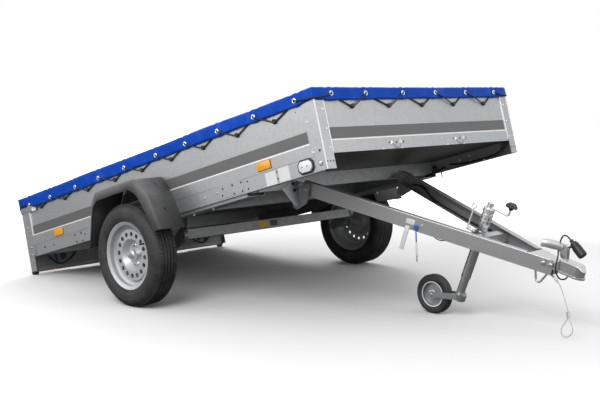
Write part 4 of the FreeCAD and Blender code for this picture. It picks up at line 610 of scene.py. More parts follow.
class Shape:
    """A mesh under construction with bmesh operators, which becomes one piece."""

    def __init__(self) -> None:
        """Starts an empty mesh."""
        self.bm = bmesh.new()

    @staticmethod
    def edges_at(verts: list) -> list:
        """Gives the edges that meet vertices, each once and always in the same order."""
        return list(dict.fromkeys(edge for vert in verts for edge in vert.link_edges))

    def bevelled(self, edges: list, offset: float, segments: int = 2) -> None:
        """Rounds edges."""
        bmesh.ops.bevel(
            self.bm, geom=edges, offset=offset, segments=segments, profile=0.5, affect="EDGES", material=-1,
        )

    def box(self, size: Triple, place: Matrix, rounding: float = 0.0, segments: int = 2) -> None:
        """Adds a block with rounded edges.

        Args:
            size: Its three sides.
            place: Its middle and its turn.
            rounding: The radius of its edges.
            segments: How many faces a rounded edge has.
        """
        scale = Matrix.Diagonal((*size, 1))
        made = bmesh.ops.create_cube(self.bm, size=1, matrix=place @ scale)
        if rounding:
            self.bevelled(self.edges_at(made["verts"]), rounding, segments)

    def disc(
        self, radius: float, depth: float, place: Matrix, segments: int = 24, taper: float = 1.0,
        rounding: float = 0.0,
    ) -> None:
        """Adds a round bar or cone along its own z, from its place upwards.

        Args:
            radius: The radius at its foot.
            depth: Its height.
            place: The middle of its foot and its turn.
            segments: How many sides it has.
            taper: The radius at its top as a share of that at its foot.
            rounding: The radius of the edge at its top.
        """
        lifted = place @ shift(0, 0, depth / 2)
        made = bmesh.ops.create_cone(
            self.bm, cap_ends=True, segments=segments, radius1=radius, radius2=radius * taper, depth=depth,
            matrix=lifted,
        )
        if rounding:
            axis = place.to_3x3() @ Vector((0, 0, 1))
            top = place.translation.dot(axis) + depth - depth * 0.01
            edges = self.edges_at(made["verts"])
            self.bevelled([edge for edge in edges if all(vert.co.dot(axis) > top for vert in edge.verts)], rounding, 3)

    def lathe(self, profile: Pairs, place: Matrix, segments: int = 32) -> None:
        """Adds a turned form.

        Args:
            profile: Radius and height of the points along its side.
            place: Where its foot stands, with its axis along z.
            segments: How many sides it has.
        """
        kept = set(self.bm.verts)
        verts = [self.bm.verts.new((radius, 0, height)) for radius, height in profile]
        edges = [self.bm.edges.new(pair) for pair in zip(verts, verts[1:])]
        bmesh.ops.spin(
            self.bm, geom=verts + edges, cent=(0, 0, 0), axis=(0, 0, 1), angle=math.tau, steps=segments,
            use_merge=True,
        )
        bmesh.ops.remove_doubles(self.bm, verts=[vert for vert in self.bm.verts if vert not in kept], dist=1e-6)
        made = [vert for vert in self.bm.verts if vert not in kept]
        bmesh.ops.transform(self.bm, matrix=place, verts=made)

    def slab(self, outline: Pairs, thickness: float, place: Matrix, rounding: float = 0.0) -> None:
        """Adds a flat plate.

        Args:
            outline: Its corners in the x and y of its place.
            thickness: How far it goes up along z.
            place: The transform from its own axes.
            rounding: The radius of its upper edges.
        """
        verts = [self.bm.verts.new(place @ Vector((u, v, 0))) for u, v in outline]
        face = self.bm.faces.new(verts)
        grown = bmesh.ops.extrude_face_region(self.bm, geom=[face])["geom"]
        top = [item for item in grown if isinstance(item, bmesh.types.BMVert)]
        bmesh.ops.translate(self.bm, verts=top, vec=place.to_3x3() @ Vector((0, 0, thickness)))
        if rounding:
            rim = [edge for edge in self.bm.edges if all(vert in top for vert in edge.verts)]
            self.bevelled(rim, rounding)

    def clad(self, sign: int, y: float, out: float, outline: Pairs, rounding: float = 0.0) -> None:
        """Adds a plate on one side of the box, from y off the middle and so far outwards."""
        self.slab(outline, -sign * out, BOX.side(sign * y), rounding)

    def bolt(self, place: Matrix, radius: float = 0.0065) -> None:
        """Adds a washer with a hexagonal head."""
        self.disc(radius * 1.7, radius * 0.28, place, 20)
        self.disc(radius * 1.1, radius * 0.95, place, 6, rounding=radius * 0.12)

    def rivet(self, place: Matrix, radius: float = 0.006) -> None:
        """Adds a low round head."""
        self.disc(radius, radius * 0.5, place, 14, rounding=radius * 0.3)

    def done(
        self, name: str, finish: Finish, body: str = "box", sharp: float = 35.0, slot: Slot | None = None,
    ) -> bpy.types.Object:
        """Makes the mesh a piece that rides on a body.

        Args:
            name: The piece's name.
            finish: Its finish.
            body: The body that it rides on.
            sharp: Edges that turn by more than this many degrees stay crisp.
            slot: The record's slot, where it isn't its finish's own; not used.

        Returns:
            The piece.
        """
        bmesh.ops.recalc_face_normals(self.bm, faces=self.bm.faces)
        return riding(shown(name, smooth_mesh(self.bm, name, finish, sharp)), body)


def strand(
    name: str, points: list[Vector], radius: float, finish: Finish, body: str = "box",
) -> bpy.types.Object:
    """Makes a round cord along one smooth line.

    Args:
        name: The piece's name.
        points: The control points of the line.
        radius: The cord's radius.
        finish: Its finish.
        body: The body that it rides on.

    Returns:
        The piece.
    """
    curve = bpy.data.curves.new(name, "CURVE")
    curve.dimensions = "3D"
    curve.bevel_depth = radius
    curve.bevel_resolution = 3
    curve.use_fill_caps = True
    curve.resolution_u = 8
    spline = curve.splines.new("NURBS")
    spline.points.add(len(points) - 1)
    for spot, point in zip(spline.points, points):
        spot.co = (*point, 1)
    spline.order_u = 3
    spline.use_endpoint_u = True
    curve.materials.append(finish.material())
    return riding(shown(name, curve), body)


@dataclass
class Studio:
    """The camera, the light and the plain pale ground.

    Attributes:
        focal_px: The camera's focal length, in pixels of the photograph.
        width_px: The photograph's width.
        sensor: The sensor's width, in millimetres.
        azimuth: How far the camera is turned from looking along the left.
        pitch: How far it looks down.
        roll: How far it is turned about its own line of sight.
        camera: Where it stands.
        lights: Each light's name, place, width and power.
        aim: What the lights are turned to.
        ground_size: The ground's width.
        ground_shade: How light the ground is to the trailer.
        ground_seen: How light it is to the camera.
        fade: From how far to how far out it fades into the sky.
        sky: How bright the sky is high up.
        low_sky: How bright it is low down.
        haze: Between which heights of the view it changes.
    """

    focal_px: float = 984.17
    width_px: float = 600.0
    sensor: float = 36.0
    azimuth: float = 43.86
    pitch: float = 6.01
    roll: float = -0.47
    camera: Triple = (3.8263, -4.015, 1.100)
    lights: tuple[tuple[str, Triple, float, float], ...] = (
        ("key", (2.5, -5.5, 4.5), 4.0, 260.0),
        ("rim", (-5.0, 3.0, 5.0), 4.0, 160.0),
        ("front", (6.0, 2.0, 2.5), 3.0, 50.0),
        ("side", (-4.0, -6.0, 2.2), 4.0, 78.0),
    )
    aim: Triple = (0, 0, 0.5)
    ground_size: float = 40.0
    ground_shade: float = 0.14
    ground_seen: float = 0.93
    fade: tuple[float, float] = (2.6, 5.5)
    sky: float = 0.72
    low_sky: float = 0.16
    haze: tuple[float, float] = (-0.3, 0.7)

    def place_camera(self) -> None:
        """Sets the camera where the photograph was taken from."""
        data = bpy.data.cameras.new("camera")
        data.sensor_width = self.sensor
        data.lens = self.focal_px / self.width_px * self.sensor
        camera = shown("camera", data)
        camera.matrix_world = Matrix.Translation(self.camera)
        for angle, axis in ((self.azimuth, "Z"), (90 - self.pitch, "X"), (self.roll, "Z")):
            camera.matrix_world @= turn(angle, axis)
        bpy.context.scene.camera = camera

    def light(self) -> None:
        """Lights the trailer softly, from above and from the camera's left."""
        for name, place, size, power in self.lights:
            data = bpy.data.lights.new(name, "AREA")
            data.shape, data.size, data.energy = "DISK", size, power
            shown(name, data).matrix_world = aimed(place, Vector(self.aim) - Vector(place), "-Z")

    def build_sky(self) -> None:
        """Makes a sky that is white to the camera and in reflections, and soft from above."""
        world = bpy.data.worlds.new("sky")
        bpy.context.scene.world = world
        nodes = Nodes(world, "Generated")
        height = nodes.add("SeparateXYZ", Vector=nodes.place).outputs["Z"]
        soft = nodes.ramp(height, self.low_sky, self.sky, *self.haze)
        rays = nodes.add("LightPath")
        seen = rays.outputs["Is Camera Ray"]
        for kind in ("Is Glossy Ray", "Is Transmission Ray"):
            seen = nodes.joined("MAXIMUM", seen, rays.outputs[kind])
        strength = nodes.add("Mix", Factor=seen, A=soft, B=1.0).outputs["Result"]
        nodes.fill(nodes.tree.nodes["Background"], Color=(1, 1, 1, 1), Strength=strength)

    def lay_ground(self) -> None:
        """Lays the pale ground, which keeps the trailer's shadow and fades into the sky."""
        bm = bmesh.new()
        bmesh.ops.create_grid(bm, x_segments=1, y_segments=1, size=self.ground_size / 2)
        mesh = bpy.data.meshes.new("ground")
        bm.to_mesh(mesh)
        bm.free()
        nodes = Nodes(bpy.data.materials.new("pale_ground"))
        seen = nodes.add("LightPath").outputs["Is Camera Ray"]
        tone = nodes.add("Mix", Factor=seen, A=self.ground_shade, B=self.ground_seen).outputs["Result"]
        far = nodes.add("VectorMath", Vector=nodes.place)
        far.operation = "LENGTH"
        glow = nodes.joined("MULTIPLY", nodes.ramp(far.outputs["Value"], 0.0, 1.0, *self.fade), seen)
        mesh.materials.append(
            nodes.finish(Base_Color=tone, Roughness=0.9, Emission_Color=(1, 1, 1, 1), Emission_Strength=glow)
        )
        shown("ground", mesh)

    def build(self) -> None:
        """Sets up the camera, the light and the ground."""
        self.place_camera()
        self.light()
        self.build_sky()
        self.lay_ground()
        bpy.context.scene.view_settings.view_transform = "Standard"


def evenly(first: float, pitch: float, count: int) -> list[float]:
    """Gives places at one pitch."""
    return [first + pitch * number for number in range(count)]


@dataclass
class Cover:
    """The blue cover: its cloth, its eyelets, the hooks under it and the elastic cord that laces it down.

    Attributes:
        half: Half the cloth's width, to the middle of its thickness.
        front: Where its front skirt hangs.
        rear: Where its rear edge lies.
        top: How high it lies.
        bend: The radius of the fold along its edges.
        thick: How thick the cloth is.
        mesh_pitch: How far apart its vertices lie.
        pull: How far an eyelet draws the skirt down.
        pucker: How high a fold at an eyelet stands.
        wave: How high the slow waves of the top are.
        low: How high the front skirt's lower edge is.
        side_eyelets: How far forward a side's eyelets are.
        front_eyelets: How far left the front's eyelets are.
        side_hooks: How far forward a side's hooks are.
        front_hooks: How far left the front's hooks are.
        front_eyelet_height: How high the front's eyelets are.
        hook_height: How high the hooks are.
        side_face: How far out the side walls' upper face lies.
        front_face: Where the front wall's upper face lies.
        eyelet_radius: An eyelet's outer radius.
        cord_radius: The elastic cord's radius.
    """

    half: float = 0.7900
    front: float = 1.3670
    rear: float = -1.2575
    top: float = 0.8095
    bend: float = 0.0085
    thick: float = 0.0009
    mesh_pitch: float = 0.0120
    pull: float = 0.0030
    pucker: float = 0.0046
    wave: float = 0.0042
    low: float = 0.7495
    side_eyelets: tuple[float, ...] = (-1.141, -0.895, -0.612, -0.368, -0.109, 0.186, 0.438, 0.697, 0.965, 1.248)
    front_eyelets: tuple[float, ...] = (-0.671, -0.425, -0.142, 0.126, 0.397, 0.668)
    side_hooks: tuple[float, ...] = (-1.024, -0.751, -0.5005, -0.224, 0.034, 0.294, 0.5605, 0.823, 1.091)
    front_hooks: tuple[float, ...] = (-0.531, -0.257, 0.0075, 0.277, 0.559)
    front_eyelet_height: float = 0.7770
    hook_height: float = 0.7185
    side_face: float = 0.780
    front_face: float = 1.357
    eyelet_radius: float = 0.0132
    cord_radius: float = 0.0034

    def side_low(self, x: float) -> float:
        """Gives how high the side skirt's lower edge is."""
        return self.low - (1.30 - x) * 0.0074

    def side_eyelet_height(self, x: float) -> float:
        """Gives how high a side eyelet is."""
        return 0.7745 - (1.25 - x) * 0.0098

    def near_eyelet(self, along: float, places: tuple[float, ...]) -> float:
        """Gives how far along an edge the nearest eyelet is."""
        return min((along - place for place in places), key=abs)

    def fold(self, off: float, width: float) -> float:
        """Gives the height, from -1 to 1, of the folds that fan out of an eyelet."""
        return math.cos(math.tau * off / width) * math.exp(-(off / (width * 1.1)) ** 2)

    def top_height(self, x: float, y: float) -> float:
        """Gives how high the top lies at a place."""
        height = self.wave * noise.fractal(Vector((x * 1.9, y * 2.3, 0.4)), 0.8, 2.0, 3)
        height -= 0.0045 * (1 - (y / self.half) ** 2)
        side, ahead = self.half - abs(y), self.front - x
        near_side = self.fold(self.near_eyelet(x, self.side_eyelets), 0.055)
        near_front = self.fold(self.near_eyelet(y, self.front_eyelets), 0.055)
        height += self.pucker * 0.7 * (near_side * math.exp(-side / 0.07) + near_front * math.exp(-ahead / 0.07))
        edge = min(1.0, side / 0.03, ahead / 0.03)
        return self.top + height * (0.30 + 0.70 * edge)

    def skirt_offset(self, along: float, places: tuple[float, ...], drop: float) -> tuple[float, float]:
        """Gives how far the skirt stands out and is drawn down, at a share of its drop."""
        off = self.near_eyelet(along, places)
        ripple = noise.fractal(Vector((along * 11.0, drop * 0.9, 3.1)), 0.8, 2.0, 3)
        out = self.pucker * self.fold(off, 0.045) * (0.35 + 0.65 * drop) + 0.0030 * ripple * (0.25 + 0.75 * drop)
        down = self.pull * math.exp(-(off / 0.03) ** 2) + 0.0016 * noise.noise(Vector((along * 5.0, 7.7, 1.0)))
        return max(out, -0.0022), down * drop

    def corner_tuck(self, x: float, drop: float) -> tuple[float, float]:
        """Gives the extra stand-out and lift of the folded cloth beside a front corner or bunched at a rear one."""
        bunched = max(0.0, 1 - (x - self.rear) / 0.11)
        if bunched:
            waist = math.sin(math.pi * min(1.0, drop * 1.1))
            return bunched * (0.0050 * math.cos(x * 260) * (1 - waist * 0.5) + 0.003), 0.004 * bunched * drop
        back = self.front - x
        if back > 0.095:
            return 0.0, 0.0
        share = 1 - max(0.0, back - 0.080) / 0.015
        return 0.0034 * share, 0.009 * share * drop * (1 - back / 0.12) - 0.004 * share * drop

    def skirt_rows(self, low: float, high: float) -> list[Triple]:
        """Gives how far out and down each row lies from the top's edge, and at what share of the skirt's drop."""
        turn = [
            (self.bend * math.sin(angle), self.bend * (1 - math.cos(angle)), 0.0)
            for angle in (math.pi / 8, math.pi / 4, math.pi * 3 / 8, math.pi / 2)
        ]
        steps, fall = 6, high - low - self.bend
        return turn + [(self.bend, self.bend + fall * step / steps, step / steps) for step in range(1, steps + 1)]

    def cloth(self) -> bpy.types.Object:
        """Makes the cover: a flat top with a skirt along both sides and the front."""
        bm = bmesh.new()
        x_end, y_end = self.front - self.bend, self.half - self.bend
        columns = round((x_end - self.rear) / self.mesh_pitch)
        rows = round(2 * y_end / self.mesh_pitch)
        xs = [self.rear + (x_end - self.rear) * column / columns for column in range(columns + 1)]
        ys = [-y_end + 2 * y_end * row / rows for row in range(rows + 1)]
        grid = [[bm.verts.new((x, y, self.top_height(x, y))) for y in ys] for x in xs]
        sewn(bm, grid)
        rim = [line[0] for line in grid] + grid[-1][1:-1] + [line[-1] for line in reversed(grid)]
        base = [(vert.co.x, vert.co.y, vert.co.z) for vert in rim]
        lows = [
            self.side_low(x) if abs(y) > y_end - 1e-6 else self.low + 0.003 * y / self.half for x, y, _ in base
        ]
        table = [self.skirt_rows(low, z) for low, (_, _, z) in zip(lows, base)]
        last = rim
        for number in range(len(table[0])):
            made = []
            for (x, y, z), row in zip(base, table):
                out, down, drop = row[number]
                place = Vector((x, y, z - down))
                if abs(y) > y_end - 1e-6:
                    stand, pulled = self.skirt_offset(x, self.side_eyelets, drop)
                    tuck, lift = self.corner_tuck(x, drop)
                    place.y += math.copysign(out + stand + tuck, y)
                    place.z += lift - pulled
                if x > x_end - 1e-6:
                    stand, pulled = self.skirt_offset(y, self.front_eyelets, drop)
                    place.x += out + stand
                    place.z -= pulled
                made.append(bm.verts.new(place))
            sewn(bm, [last, made])
            last = made
        return self.sheet_piece(bm, "cover_cloth", "box")

    def sheet_piece(self, bm: bmesh.types.BMesh, name: str, body: str) -> bpy.types.Object:
        """Makes a thin cloth out of a mesh on the box's axes, with its weave laid flat."""
        bmesh.ops.recalc_face_normals(bm, faces=bm.faces)
        laid = bm.loops.layers.uv.new("weave")
        for face in bm.faces:
            first, second = 0, 1
            if abs(face.normal.z) < 0.5:
                first, second = (0, 2) if abs(face.normal.y) > abs(face.normal.x) else (1, 2)
            for loop in face.loops:
                loop[laid].uv = (loop.vert.co[first], loop.vert.co[second])
        bmesh.ops.transform(bm, matrix=BOX.matrix, verts=bm.verts)
        piece = shown(name, smooth_mesh(bm, name, COVER_CLOTH))
        walled(piece, self.thick)
        return riding(piece, body)

    def flap(self) -> bpy.types.Object:
        """Makes the rear strip that is buttoned to the tailgate."""
        bm = bmesh.new()
        half, high, low, plane = 0.7445, 0.7995, 0.7500, -1.2584
        columns, rows = 110, 7
        grid = []
        for column in range(columns + 1):
            y = -half + 2 * half * column / columns
            line = []
            for row in range(rows + 1):
                drop = row / rows
                ripple = noise.fractal(Vector((y * 7.0, drop * 0.6, 5.3)), 0.8, 2.0, 2)
                line.append(bm.verts.new((plane - 0.0012 * ripple * drop, y, high + (low - high) * drop)))
            grid.append(line)
        sewn(bm, grid)
        return self.sheet_piece(bm, "rear_flap_cloth", "tailgate")

    def eyelet_ring(self, shape: Shape, place: Matrix) -> None:
        """Adds a rolled metal ring."""
        r = self.eyelet_radius
        shape.lathe([
            (r * 0.50, -0.0010), (r * 0.50, 0.0008), (r * 0.62, 0.0022), (r * 0.85, 0.0018), (r, 0.0),
            (r, -0.0006),
        ], place, 24)

    def ring_places(self) -> list[Matrix]:
        """Gives where the eyelets of the skirt are."""
        places = []
        for sign in SIDES.values():
            for x in self.side_eyelets:
                out, _ = self.skirt_offset(x, self.side_eyelets, 0.6)
                places.append(BOX.flank(sign, x, self.half + out + 0.0006, self.side_eyelet_height(x)))
        for y in self.front_eyelets:
            out, _ = self.skirt_offset(y, self.front_eyelets, 0.6)
            places.append(BOX.ahead(self.front + out + 0.0006, y, self.front_eyelet_height))
        return places

    def hardware(self) -> None:
        """Makes the eyelets, black discs that paint the shade in their holes, the hooks and the rear strip's buttons.
        """
        rings, holes, hooks, buttons = Shape(), Shape(), Shape(), Shape()
        for place in self.ring_places():
            self.eyelet_ring(rings, place)
            holes.disc(self.eyelet_radius * 0.56, 0.0004, place, 16)
        knob = [
            (0.0, 0.0), (0.0110, 0.0), (0.0110, 0.0020), (0.0058, 0.0030), (0.0058, 0.0078), (0.0108, 0.0086),
            (0.0112, 0.0102), (0.0094, 0.0124), (0.0068, 0.0122), (0.0040, 0.0104), (0.0, 0.0100),
        ]
        for sign in SIDES.values():
            for x in self.side_hooks:
                hooks.lathe(knob, BOX.flank(sign, x, self.side_face, self.hook_height), 20)
        for y in self.front_hooks:
            hooks.lathe(knob, BOX.ahead(self.front_face, y, self.hook_height), 20)
        for y in evenly(-0.62, 0.31, 5):
            place = BOX.facing(-1.2588, y, 0.7750, (-1, 0, 0))
            self.eyelet_ring(buttons, place)
            buttons.box((0.006, 0.022, 0.004), place @ shift(0, 0, 0.003), 0.001)
        rings.done("cover_eyelets", EYELET)
        holes.done("eyelet_hole_shade", PAINTED_SHADE)
        hooks.done("cover_hooks", BLACK)
        buttons.done("flap_buttons", BRIGHT_ZINC, "tailgate")

    def leg(self, eyelet: Vector, hook: Vector, low: float, over: bool) -> list[Vector]:
        """Gives the cord's points from an eyelet to a hook, as places along, up and out of the wall.

        Args:
            eyelet: The eyelet's place: along, up.
            hook: The hook's place: along, up.
            low: How high the skirt's lower edge is.
            over: Whether the cord runs over the skirt.

        Returns:
            The points.
        """
        way = math.copysign(1.0, hook.x - eyelet.x)
        foot = Vector((hook.x - way * 0.0105, hook.y - 0.0015))
        edge = (eyelet.y - low) / (eyelet.y - foot.y)
        outs = ((0.0, 0.0110), (0.04, 0.0168), (0.5 * edge, 0.0170), (edge, 0.0158), (0.9, 0.0095), (1.0, 0.0064))
        if not over:
            outs = ((0.0, 0.0100), (0.06, 0.0058), (0.5, 0.0056), (0.9, 0.0058), (1.0, 0.0060))
        return [Vector((*eyelet.lerp(foot, share), out)) for share, out in outs]

    def zigzag(self, eyelets: list[Vector], hooks: list[Vector], low: object, over: list[tuple[bool, bool]]) -> list:
        """Gives the cord's points along one edge, from eyelet to hook to eyelet."""
        points = []
        for eyelet, hook, after, (first, second) in zip(eyelets, hooks, eyelets[1:], over):
            way = math.copysign(1.0, hook.x - eyelet.x)
            points += self.leg(eyelet, hook, low(eyelet.x), first)
            for off, out in ((-way, 0.0058), (way, 0.0056)):
                points.append(Vector((hook.x + off * 0.0040, hook.y - 0.0098, out)))
            points += list(reversed(self.leg(after, hook, low(after.x), second)))
        return points

    def lacing(self) -> None:
        """Makes the elastic cord, from the right rear round the front to the left rear."""
        side = [Vector((x, self.side_eyelet_height(x))) for x in self.side_eyelets]
        across = [Vector((y, self.front_eyelet_height)) for y in self.front_eyelets]
        side_hooks = [Vector((x, self.hook_height)) for x in self.side_hooks]
        across_hooks = [Vector((y, self.hook_height)) for y in self.front_hooks]
        flank = self.zigzag(side, side_hooks, self.side_low, [(True, False)] * len(side_hooks))
        face = self.zigzag(
            across, across_hooks, lambda y: self.low,
            [(False, True), (False, True), (False, False), (True, False), (True, False)],
        )
        low, high, ahead = 0.7590, side[-1].y, self.front_face + 0.0172
        corner = [
            (side[-1].x, 0.0110, high), (side[-1].x + 0.003, 0.0178, high), (1.300, 0.0192, 0.7655),
            (1.345, 0.0198, low), (self.front + 0.006, 0.0145, low - 0.001), (ahead + 0.0006, -0.020, low),
            (ahead, -0.070, 0.7665), (ahead, -0.111, 0.7755),
        ]
        turns = {sign: [BOX.at(x, sign * (self.side_face + out), z) for x, out, z in corner] for sign in (-1, 1)}
        points = [BOX.at(place.x, -self.side_face - place.z, place.y) for place in flank]
        points += turns[-1]
        points += [BOX.at(self.front_face + place.z, place.x, place.y) for place in face]
        points += reversed(turns[1])
        points += [BOX.at(place.x, self.side_face + place.z, place.y) for place in reversed(flank)]
        strand("lacing_cord", points, self.cord_radius, ELASTIC)
        for side, sign in SIDES.items():
            for number, (start, end) in enumerate(((0.7640, 0.7610), (0.7560, 0.7540))):
                tail = (
                    (-1.141, 0.0120, start), (-1.180, 0.0165, start - 0.001), (-1.225, 0.0175, end),
                    (-1.2520, 0.0165, end),
                )
                points = [BOX.at(x, sign * (self.side_face + out), z) for x, out, z in tail]
                strand(f"corner_cord_{side}_{number}", points, 0.0030, ELASTIC)

    def build(self) -> None:
        """Makes the cover and what holds it."""
        cloth = self.cloth()
        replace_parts(cloth, "tarp_cover")
        flap = self.flap()
        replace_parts(flap, "tarp_rear_flap")
        self.hardware()
        self.lacing()


@dataclass
class Walls:
    """What is stuck, bolted and pressed on the box's walls and posts.

    Attributes:
        face: How far out a side wall's upper face lies.
        wall: How far out its lower strip lies.
        post: How far out a post lies.
        rail: How far out a side rail lies.
        rail_plate: How far out the plate on a side rail lies.
        front: Where the front wall's upper face lies.
        front_wall: Where its lower strip lies.
        front_post: Where a front post's face lies.
        high: How high the walls' upper edge is.
        length: From where to where a side wall shows between its posts.
        width: From where to where the front wall shows between its posts.
        stripe: Between which heights the stripe lies.
        bend: Between which heights the painted highlight of the bend lies.
    """

    face: float = 0.780
    wall: float = 0.785
    post: float = 0.788
    rail: float = 0.783
    rail_plate: float = 0.7852
    front: float = 1.357
    front_wall: float = 1.362
    front_post: float = 1.365
    high: float = 0.800
    length: tuple[float, float] = (-1.195, 1.284)
    width: tuple[float, float] = (-0.728, 0.744)
    stripe: tuple[float, float] = (0.5695, 0.6225)
    bend: tuple[float, float] = (0.5606, 0.5668)

    def stripes(self) -> None:
        """Makes the bare grey stripes along the sides and the front."""
        shape = Shape()
        for sign in SIDES.values():
            shape.clad(sign, self.face + 0.0001, 0.0003, rectangle(*self.length, *self.stripe))
        shape.slab(rectangle(*self.width, *self.stripe), 0.0003, BOX.front(self.front + 0.0001))
        shape.done("wall_stripes", STRIPE)

    def painted_highlights(self) -> None:
        """Makes the near-white strips that paint the highlights of the bends: along the walls and down the front
        corners.
        """
        shape, legs = Shape(), Shape()
        for sign in SIDES.values():
            shape.clad(sign, self.wall + 0.0001, 0.0006, rectangle(*self.length, *self.bend))
            shape.disc(0.0032, 0.365, BOX.along(1.3624, sign * 0.7855, 0.4345), 16)
            shape.clad(sign, 0.7797, 0.0088, rectangle(-1.1725, -1.1665, 0.5675, self.high), 0.002)
            inner = rectangle(sign * 0.7300, sign * 0.7235, 0.512, self.high)
            shape.slab(inner, 0.0090, BOX.front(self.front - 0.0003), 0.002)
            legs.clad(sign, 0.7803, 0.0075, rectangle(1.2845, 1.3065, 0.511, self.high))
        shape.slab(rectangle(*self.width, *self.bend), 0.0006, BOX.front(self.front_wall + 0.0001))
        shape.done("painted_bend_highlights", PAINTED_HIGHLIGHT, slot=Slot.GALVANISED)
        legs.done("post_legs", GALVANISED)

    def corners(self) -> None:
        """Makes the plates that widen the rear posts' legs and close the front corners under the posts."""
        legs, shut, bright = Shape(), Shape(), Shape()
        screw = ((0.0100, 0.0030, 0.4290, 18), (0.0082, 0.0070, 0.4225, 6), (0.0046, 0.0240, 0.4040, 14))
        for sign in SIDES.values():
            for low, high in ((0.566, self.high), (0.440, 0.566)):
                legs.clad(sign, 0.7853, 0.0028, rectangle(-1.195, -1.171, low, high))
            shut.clad(sign, 0.757, 0.003, rectangle(1.290, 1.352, 0.434, 0.508))
            bright.clad(sign, 0.7884, 0.0020, rectangle(-1.231, -1.080, 0.708, 0.7455))
            bright.disc(0.0022, 0.030, BOX.along(-1.2495, sign * 0.791, 0.690), 12)
            for x in (0.506, 0.349):
                for radius, depth, z, segments in screw:
                    bright.disc(radius, depth, BOX.along(x, sign * 0.745, z), segments)
        legs.done("rear_post_legs", GALVANISED)
        # The corner plates, the rod and the screws are near-white: painted highlights.
        bright.done("corner_plates", PAINTED_HIGHLIGHT)
        shut.done("corner_closers", SHADOW_ZINC)

    def fasteners(self) -> None:
        """Makes the bolts and rivets of the posts, the rails and the front wall."""
        shape, rivets = Shape(), Shape()
        for sign in SIDES.values():
            for x, z in ((-1.217, 0.616), (-1.212, 0.491), (-1.215, 0.446)):
                shape.bolt(BOX.flank(sign, x, self.post, z), 0.0055)
            for x, z in ((0.605, 0.476), (0.501, 0.469)):
                shape.bolt(BOX.flank(sign, x, self.rail, z), 0.0055)
            for x, z in ((1.300, 0.662), (1.299, 0.522)):
                rivets.rivet(BOX.flank(sign, x, self.post, z), 0.0050)
            for z in (0.706, 0.616, 0.529):
                rivets.rivet(BOX.ahead(self.front_post, sign * 0.744, z), 0.0055)
            shape.disc(0.0115, 0.0050, BOX.flank(sign, 1.3310, self.wall, 0.4660), 26, rounding=0.0022)
        for y in (-0.370, -0.226, 0.151, 0.299):
            rivets.rivet(BOX.ahead(self.front_wall, y, 0.5060), 0.0045)
        shape.done("wall_bolts", BRIGHT_ZINC)
        rivets.done("wall_rivets", POLISHED)

    def holes(self) -> None:
        """Makes black discs and a slot that paint the shade in the punched holes of the rails and posts."""
        shape = Shape()
        rows = (
            (
                self.rail, (0.831, 0.487, 0.0050), (0.831, 0.451, 0.0050), (-1.063, 0.472, 0.0070),
                (-0.958, 0.468, 0.0060), (-0.714, 0.488, 0.0060), (-0.648, 0.489, 0.0060), (-0.706, 0.446, 0.0060),
                (-0.642, 0.442, 0.0060), (-0.609, 0.476, 0.0050), (1.0425, 0.488, 0.0042), (1.0425, 0.456, 0.0042),
            ),
            (
                self.rail_plate, (0.789, 0.449, 0.0050), (0.788, 0.492, 0.0050), (0.723, 0.491, 0.0055),
                (0.726, 0.449, 0.0050), (0.650, 0.487, 0.0050), (0.640, 0.455, 0.0050),
            ),
            (self.face, (1.231, 0.725, 0.0030)),
            (self.wall + 0.0046, (1.3405, 0.4660, 0.0034)),
        )
        for sign in SIDES.values():
            for y, *spots in rows:
                for x, z, radius in spots:
                    shape.disc(radius, 0.0006, BOX.flank(sign, x, y, z), 18)
            shape.box((0.009, 0.0012, 0.011), BOX.along(1.3395, sign * (self.post + 0.0002), 0.5235))
            for y in (0.779, 0.760, 0.739):
                shape.disc(0.0038, 0.0006, BOX.ahead(self.front_post, sign * y, 0.468), 16)
        shape.done("punched_hole_shade", PAINTED_SHADE)

    def pressings(self) -> None:
        """Makes the lashing points low on the front wall: two raised ears, three black discs of painted hole shade and
        a wire ring each.
        """
        ears, holes = Shape(), Shape()
        pin = ((0.002, 0.002, 0.5300), (0.006, 0.012, 0.5330), (0.009, 0.022, 0.5440), (0.006, 0.026, 0.5500))
        ring = (
            (0.003, -0.018, 0.5260), (0.004, -0.016, 0.5120), (0.005, 0.0, 0.5075), (0.004, 0.026, 0.5110),
            (0.003, 0.030, 0.5250),
        )
        for middle in (-0.262, 0.268):
            for off in (-0.036, 0.036):
                ears.disc(0.0125, 0.0060, BOX.ahead(self.front_wall, middle + off, 0.5315), 3, 0.35, 0.001)
            for off in (-0.055, 0.0, 0.055):
                holes.disc(0.0045, 0.0008, BOX.ahead(self.front_wall, middle + off, 0.5350), 16)
            for name, wire, radius, finish in (("pin", pin, 0.0018, POLISHED), ("ring", ring, 0.0016, GALVANISED)):
                points = [BOX.at(self.front_wall + out, middle + off, z) for out, off, z in wire]
                strand(f"lashing_{name}_{middle:.2f}", points, radius, finish)
        ears.done("lashing_ears", POLISHED)
        holes.done("lashing_hole_shade", PAINTED_SHADE)

    def labels(self) -> None:
        """Makes the blank stickers on the rails and the axle."""
        white, yellow, dark = Shape(), Shape(), Shape()
        for sign in SIDES.values():
            for edges in ((0.960, 1.033, 0.4345, 0.4985), (1.050, 1.123, 0.4365, 0.5030)):
                white.clad(sign, self.rail + 0.0001, 0.0003, rounded(*edges))
        axle = BOX.front(0.1652)
        yellow.slab(rounded(-0.130, -0.055, 0.312, 0.345), 0.0003, axle)
        dark.slab(rounded(-0.040, 0.018, 0.312, 0.345), 0.0003, axle)
        white.done("blank_stickers", WHITE_LABEL)
        yellow.done("axle_label", YELLOW_LABEL)
        dark.done("axle_label_dark", BLACK)

    def build(self) -> None:
        """Makes everything on the walls."""
        self.stripes()
        self.painted_highlights()
        self.corners()
        self.fasteners()
        self.holes()
        self.pressings()
        self.labels()


